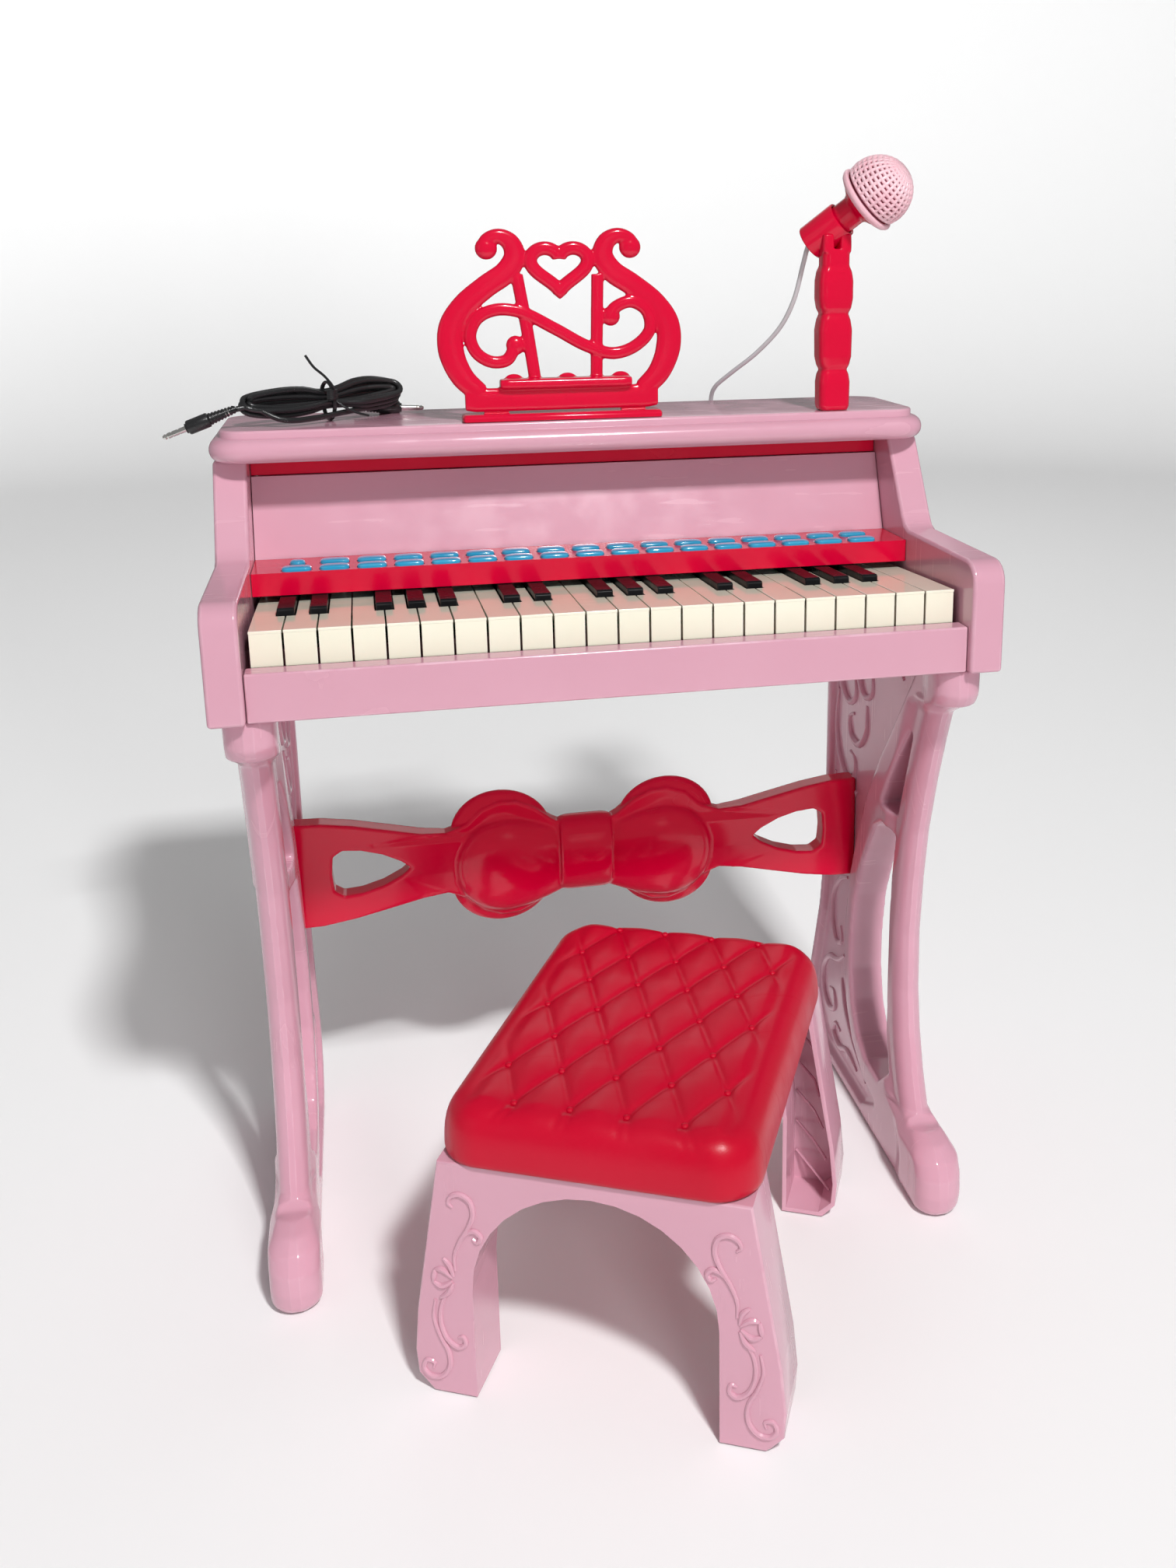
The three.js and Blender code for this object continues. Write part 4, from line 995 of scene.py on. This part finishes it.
ribbon(rest_bm, heart, [8.2] * 33, 0.0032, 3, forward=0.0003)
for low_v, high_v, half_u, middle_u, out in ((5.8, 20, 59, 0, 0.0), (19.4, 25.6, 40, 2, 0.0056)):
    rows = []
    for x in (-1, -0.97, -0.9, 0, 0.9, 0.97, 1):
        pull = 1 - 0.16 * max(abs(x) - 0.9, 0) * 10
        ring = []
        for j in range(24):
            angle = math.tau * j / 24
            high_part = math.copysign(abs(math.sin(angle)) ** 0.5, math.sin(angle))
            deep_part = math.copysign(abs(math.cos(angle)) ** 0.6, math.cos(angle))
            half_v = (high_v - low_v) / 2 * pull
            ring.append(rest_bm.verts.new((
                rest_x + (middle_u + half_u * x) / 1000,
                rest_back - rest_depth / 2 - out / 2 + deep_part * (rest_depth + out) / 2 * pull,
                rest_foot + ((low_v + high_v) / 2 + half_v * high_part) / 1000)))
        rows.append(ring)
    skinned(rest_bm, rows)
for u in (-29.3, 3.3, 36):
    lobe(rest_bm, on_rest(u, 23.6), (0.0062, 0.0024, 0.0046))
bmesh.ops.recalc_face_normals(rest_bm, faces=rest_bm.faces)
rest = fused(finished("music_rest_lyre", rest_bm, crimson), 0.0007, 3)
belongs(rest, "music_rest", "crimson_plastic", "music_rest")

# Microphone and its post
# A crimson post with scalloped sides carries a sleeve, and the toy microphone pushes into it.
# The microphone is a crimson handle with a toothed collar under a ball of pink plastic lattice.
tail = mm(150.4, 129.4, 606.7)
mic_way = Vector((11, -9, 10)).normalized()
post_bm = bmesh.new()
post_levels = [(9, 7.5, 503.3), (9.9, 8.2, 506), (10, 8.3, 521), (9.4, 7.7, 525.6),
               (8.2, 6.9, 528.5), (9.5, 7.8, 531.2), (10.6, 8.6, 536.5), (10.8, 8.8, 553),
               (9.9, 8.1, 559.2), (8.6, 7.1, 563), (10.1, 8.2, 566.2), (11, 8.8, 572),
               (11, 8.8, 583), (10.2, 8.2, 588.4), (8.8, 7.2, 592), (8.8, 7.2, 602)]
loft(post_bm, [[mm(160.5 + x, 118 + y, z) for x, y in rounded(half_x, half_y, 4.2, 5)]
               for half_x, half_y, z in post_levels])
for side in (-1, 1):
    loft(post_bm, [[mm(160.5 + side * 5.6 + x, 118 + y, z) for x, y in rounded(half, 7.3, 2, 4)]
                   for half, z in ((3.5, 600), (3.7, 604), (3.4, 611))])
post = finished("microphone_post", post_bm, crimson)
fused(post, 0.0007, 4)
belongs(post, "console", "crimson_plastic", "mic_post")
sleeve_bm = bmesh.new()
wall = [(9.75, -2), (11.0, -2), (11.4, -1.4), (11.4, 22), (11.1, 22.9), (10.4, 23), (9.75, 22.4),
        (9.75, -2)]
turn(sleeve_bm, [(r / 1000, h / 1000) for r, h in wall], tail, mic_way, 48)
bmesh.ops.remove_doubles(sleeve_bm, verts=sleeve_bm.verts, dist=1e-6)
bmesh.ops.recalc_face_normals(sleeve_bm, faces=sleeve_bm.faces)
belongs(finished("microphone_sleeve", sleeve_bm, crimson, 30), "console", "crimson_plastic")

handle_bm = bmesh.new()
handle = [(0, 0), (6.6, 0), (7.6, 0.5), (8.4, 1.5), (9.0, 6), (9.2, 12), (9.2, 32), (9.7, 33.4),
          (11.2, 35), (14.2, 36.8), (17.0, 38.6), (18.4, 40.2), (18.8, 41.4), (18.6, 43.3), (0, 43.3)]
turn(handle_bm, [(r / 1000, h / 1000) for r, h in handle], tail, mic_way, 64)
belongs(finished("microphone_handle", handle_bm, crimson, 34), "microphone", "crimson_plastic",
        "mic_body")
lattice_pink = plastic("pink lattice plastic", (0.84, 0.50, 0.56), (0.80, 0.46, 0.53),
                       (0.9, 0.65, 0.7), gloss=(0.26, 0.4), grain=1400.0, share=0.3, soft=0.05)
inner_pink = plastic("shaded inner ball", (0.42, 0.10, 0.16), (0.36, 0.08, 0.13),
                     (0.5, 0.2, 0.2), gloss=(0.5, 0.7), rub=0)
HEAD = 0.0213
head_centre = tail + mic_way * 0.051

# A ball of bars: the edges of a globe above its collar, each made a short rod.
lattice_tree, lattice_in, lattice_out = geometry_group("Lattice ball", [
    ("Bars Round", "NodeSocketInt", 32), ("Bars Up", "NodeSocketInt", 24),
    ("Radius", "NodeSocketFloat", 0.02), ("Bar", "NodeSocketFloat", 0.0008),
    ("Cut", "NodeSocketFloat", -0.0075), ("Material", "NodeSocketMaterial", None)])
globe = lattice_tree.nodes.new("GeometryNodeMeshUVSphere")
lattice_tree.links.new(lattice_in.outputs["Bars Round"], globe.inputs["Segments"])
lattice_tree.links.new(lattice_in.outputs["Bars Up"], globe.inputs["Rings"])
lattice_tree.links.new(lattice_in.outputs["Radius"], globe.inputs["Radius"])
where = lattice_tree.nodes.new("GeometryNodeInputPosition")
split = lattice_tree.nodes.new("ShaderNodeSeparateXYZ")
lattice_tree.links.new(where.outputs["Position"], split.inputs["Vector"])
under = lattice_tree.nodes.new("FunctionNodeCompare")
under.data_type = "FLOAT"
under.operation = "LESS_THAN"
lattice_tree.links.new(split.outputs["Z"], under.inputs[0])
lattice_tree.links.new(lattice_in.outputs["Cut"], under.inputs[1])
trim = lattice_tree.nodes.new("GeometryNodeDeleteGeometry")
lattice_tree.links.new(globe.outputs["Mesh"], trim.inputs["Geometry"])
lattice_tree.links.new(under.outputs["Result"], trim.inputs["Selection"])
bars = lattice_tree.nodes.new("GeometryNodeMeshToCurve")
section = lattice_tree.nodes.new("GeometryNodeCurvePrimitiveCircle")
section.inputs["Resolution"].default_value = 6
rods = lattice_tree.nodes.new("GeometryNodeCurveToMesh")
rods.inputs["Fill Caps"].default_value = True
lattice_tree.links.new(lattice_in.outputs["Bar"], section.inputs["Radius"])
lattice_tree.links.new(trim.outputs["Geometry"], bars.inputs["Mesh"])
lattice_tree.links.new(bars.outputs["Curve"], rods.inputs["Curve"])
lattice_tree.links.new(section.outputs["Curve"], rods.inputs["Profile Curve"])
ends_in(lattice_tree, rods.outputs["Mesh"], lattice_in, lattice_out)
ball_bm = bmesh.new()
ball_bm.verts.new((0, 0, 0))
lattice = worked(finished("microphone_lattice", ball_bm, lattice_pink), lattice_tree, bars_round=28,
                 bars_up=21, radius=HEAD - 0.0011, bar=0.00115, cut=-0.0066, material=lattice_pink)
head_turn = mic_way.to_track_quat("Z", "Y").to_matrix().to_4x4()
lattice.data.transform(head_turn)
lattice.data.transform(Matrix.Translation(head_centre))
belongs(lattice, "microphone", "grille_pink", "mic_grille")
core_bm = bmesh.new()
core = [(0, -7.2)]
for i in range(25):
    angle = math.radians(-22 + 112 * i / 24)
    core.append((19.3 * math.cos(angle) if i < 24 else 0, 19.3 * math.sin(angle)))
turn(core_bm, [(r / 1000, h / 1000) for r, h in core], head_centre, mic_way, 48)
belongs(finished("microphone_core", core_bm, inner_pink), "microphone", "grille_pink")
teeth_bm = bmesh.new()
ring_profile = [(15.5, -12.6), (18.6, -11.9), (20.6, -10.8), (21.6, -9.6), (21.9, -8.6),
                (21.7, -7.6), (20.9, -7.0), (19.4, -7.0), (15.5, -12.6)]
turn(teeth_bm, [(r / 1000, h / 1000) for r, h in ring_profile], head_centre, mic_way, 64)
bmesh.ops.remove_doubles(teeth_bm, verts=teeth_bm.verts, dist=1e-6)
bmesh.ops.recalc_face_normals(teeth_bm, faces=teeth_bm.faces)
belongs(finished("microphone_collar_ring", teeth_bm, lattice_pink, 30), "microphone", "grille_pink")

# Stool
# Two arched frames of pale pink plastic, hollow at the back, with raised scrolls on their legs,
# clip under a seat. The seat is one crimson moulding made to look like buttoned quilting.
stool_box = [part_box(n) for n in ("stool_seat", "stool_frame_near", "stool_frame_far")]
seat_low, seat_high = stool_box[0]
stool_middle = Vector(((seat_low.x + seat_high.x) / 2, (seat_low.y + seat_high.y) / 2, 0))
stool_lean = math.radians(-26)


def on_stool(u, w, z):
    """A point in the stool's own directions, in millimetres from its middle and the floor."""
    return stool_middle + Vector((
        (u * math.cos(stool_lean) - w * math.sin(stool_lean)) / 1000,
        (u * math.sin(stool_lean) + w * math.cos(stool_lean)) / 1000, z / 1000))


STOOL_SCROLLS = [
    [(2, 116.5), (4.5, 119), (3, 123), (-2, 125), (-8, 122.5), (-10.5, 115), (-8, 106), (-2.5, 96),
     (0.5, 87), (0, 78)],
    [(-2.5, 95), (-7, 102), (-12, 104), (-15.5, 101), (-13.5, 97.5), (-10.5, 99)],
    [(1, 74), (3.5, 81), (7.5, 84.5)], [(1.5, 73), (8, 77.5), (12.5, 77)], [(12.5, 77), (13.5, 69)],
    [(1.5, 71), (8, 67), (13.5, 69)], [(1, 70), (4, 63.5), (9, 59.5)],
    [(2.5, 66), (8, 56), (8.5, 44), (4, 34), (-3, 30), (-7, 33), (-5.5, 37), (-2.5, 36)],
    [(12, 58), (13, 47), (9, 36), (3.5, 26), (3, 16), (8, 9.5), (15, 9), (19, 13.5), (17, 18.5),
     (12.5, 17.5), (13, 14)]]


def outside(spot):
    """Says whether a point of a stool frame lies on its face's outer outline."""
    flat = spot - stool_middle
    u = flat.x * math.cos(stool_lean) + flat.y * math.sin(stool_lean)
    w = flat.y * math.cos(stool_lean) - flat.x * math.sin(stool_lean)
    return abs(w) > 0.1142 and max(abs(u) - 0.0673, spot.z - 0.1335) > 0


for node, facing in (("stool_frame_near", -1), ("stool_frame_far", 1)):
    belongs(cast(node + "_moulding", node, pale_pink, 0.0009, outer=outside), "stool",
            "pale_pink_plastic", node)
    relief_bm = bmesh.new()
    for leg in (-1, 1):
        for stroke in STOOL_SCROLLS:
            line = [on_stool(leg * (80.5 - 7.5 * z / 140 + u * 0.92), facing * 114.6, z)
                    for u, z in stroke]
            swell = lambda t: 0.0008 + 0.0009 * math.sin(math.pi * min(max(t, 0.02), 0.98)) ** 0.7
            sweep(relief_bm, through(line, 6), swell, 8)
    # Stiffening ribs stand across the hollow back of each leg.
    for leg in (-1, 1):
        for i in range(5):
            z = 18 + 22 * i
            rib = [on_stool(leg * out, facing * (112 - deep), z + lift)
                   for out, deep, lift in ((71, 1, 6), (84, 12, 0), (96 - i * 2.4, 22, -6))]
            sweep(relief_bm, rib, 0.0009, 6)
    belongs(finished(node + "_scrolls", relief_bm, pale_pink), "stool", "pale_pink_plastic")

seat_crimson = plastic("satin crimson seat", (0.52, 0.0, 0.022), (0.48, 0.0, 0.018),
                       (0.6, 0.01, 0.04), gloss=(0.3, 0.42), grain=1300.0, share=0.5,
                       relief=0.0001, specular=0.3, rub=0.3)
SEAT_X, SEAT_Y, SEAT_CORNER = 86.0, 117.5, 25.0
TOP_X, TOP_Y, TOP_CORNER = 72.0, 103.5, 16.0
PITCH_X, PITCH_Y = 30.5, 67.2


def quilt(u, w):
    """Height of the quilted top over its rim plane, in millimetres."""
    far = max(min((72 - abs(u)) / 9, 1), 0) * max(min((108 - abs(w)) / 8, 1), 0)
    fade = far * far * (3 - 2 * far)
    first = u / PITCH_X + (w - 3) / PITCH_Y
    second = u / PITCH_X - (w - 3) / PITCH_Y
    near_first = abs(first - round(first)) * 27.8
    near_second = abs(second - round(second)) * 27.8
    crease = math.exp(-(near_first / 1.5) ** 2) + math.exp(-(near_second / 1.5) ** 2)
    pillow = abs(math.sin(math.pi * first) * math.sin(math.pi * second))
    pit = math.exp(-(near_first ** 2 + near_second ** 2) / 16)
    crown = 1.2 * (1 - (u / TOP_X) ** 2 * 0.5 - (w / TOP_Y) ** 2 * 0.5)
    return crown + fade * (2.0 * pillow - 0.85 * min(crease, 1.2) - 1.0 * pit)


def squared(a, b, half_x, half_y, corner):
    """Maps a unit square to a rectangle with round corners."""
    x, y = a * half_x, b * half_y
    over_x = (abs(x) - (half_x - corner)) / corner
    over_y = (abs(y) - (half_y - corner)) / corner
    if over_x > 0 and over_y > 0:
        x = math.copysign(half_x - corner + corner * over_x * math.sqrt(1 - over_y ** 2 / 2), x)
        y = math.copysign(half_y - corner + corner * over_y * math.sqrt(1 - over_x ** 2 / 2), y)
    return x, y


seat_bm = bmesh.new()
COLS, ROWS = 112, 154
crown_z = 173.4
skirt = [(0.0, 0.0), (0.16, 0.3), (0.32, 1.0), (0.47, 2.1), (0.6, 3.6), (0.72, 5.7), (0.82, 8.4),
         (0.9, 11.8), (0.955, 15.8), (0.985, 20.0), (1.0, 24.5), (1.0, 27.0), (0.97, 29.2), (0.88, 30.1)]
cloth = [[None] * (ROWS + 1) for _ in range(COLS + 1)]
for i in range(COLS + 1):
    for j in range(ROWS + 1):
        u, w = squared(2 * i / COLS - 1, 2 * j / ROWS - 1, TOP_X, TOP_Y, TOP_CORNER)
        cloth[i][j] = seat_bm.verts.new(on_stool(u, w, crown_z + quilt(u, w)))
for i in range(COLS):
    for j in range(ROWS):
        seat_bm.faces.new((cloth[i][j], cloth[i + 1][j], cloth[i + 1][j + 1], cloth[i][j + 1]))
border = ([(i, 0) for i in range(COLS)] + [(COLS, j) for j in range(ROWS)]
          + [(i, ROWS) for i in range(COLS, 0, -1)] + [(0, j) for j in range(ROWS, 0, -1)])
last = [cloth[i][j] for i, j in border]
for k, (grow, drop) in enumerate(skirt[1:], 1):
    half_x = TOP_X + (SEAT_X - TOP_X) * grow
    half_y = TOP_Y + (SEAT_Y - TOP_Y) * grow
    corner = TOP_CORNER + (SEAT_CORNER - TOP_CORNER) * grow
    z = crown_z - drop
    ring = []
    for i, j in border:
        u, w = squared(2 * i / COLS - 1, 2 * j / ROWS - 1, half_x, half_y, corner)
        lift = max(1 - k / 8, 0) * quilt(
            *squared(2 * i / COLS - 1, 2 * j / ROWS - 1, TOP_X, TOP_Y, TOP_CORNER))
        ring.append(seat_bm.verts.new(on_stool(u, w, z + lift)))
    for m in range(len(ring)):
        n = (m + 1) % len(ring)
        seat_bm.faces.new((last[n], last[m], ring[m], ring[n]))
    last = ring
seat_bm.faces.new(last[::-1])
seat = finished("stool_seat_quilted", seat_bm, seat_crimson, 60)
belongs(seat, "stool", "seat_covering", "stool_seat")

# The quilting's buttons: a small dome on each point of a mesh.
dome_tree, dome_in, dome_out = geometry_group("Domes on points", [
    ("Radius", "NodeSocketFloat", 0.0024), ("Flatness", "NodeSocketFloat", 0.6),
    ("Material", "NodeSocketMaterial", None)])
dome_ball = dome_tree.nodes.new("GeometryNodeMeshUVSphere")
dome_ball.inputs["Segments"].default_value = 16
dome_ball.inputs["Rings"].default_value = 10
dome_squash = dome_tree.nodes.new("ShaderNodeCombineXYZ")
dome_squash.inputs["X"].default_value = 1
dome_squash.inputs["Y"].default_value = 1
dome_put = dome_tree.nodes.new("GeometryNodeInstanceOnPoints")
dome_tree.links.new(dome_in.outputs["Radius"], dome_ball.inputs["Radius"])
dome_tree.links.new(dome_in.outputs["Flatness"], dome_squash.inputs["Z"])
dome_tree.links.new(dome_in.outputs["Geometry"], dome_put.inputs["Points"])
dome_tree.links.new(dome_ball.outputs["Mesh"], dome_put.inputs["Instance"])
dome_tree.links.new(dome_squash.outputs["Vector"], dome_put.inputs["Scale"])
ends_in(dome_tree, dome_put.outputs["Instances"], dome_in, dome_out)
tuft_bm = bmesh.new()
for j in range(-3, 4):
    for i in range(-4, 5):
        if (i + j) % 2 == 0:
            u, w = i * PITCH_X / 2, j * PITCH_Y / 2 + 3
            tuft_bm.verts.new(on_stool(u, w, crown_z + quilt(u, w) + 0.2))
tufts = worked(finished("stool_seat_buttons", tuft_bm, seat_crimson), dome_tree, radius=0.0021,
               flatness=0.7, material=seat_crimson)
belongs(tufts, "stool", "seat_covering")
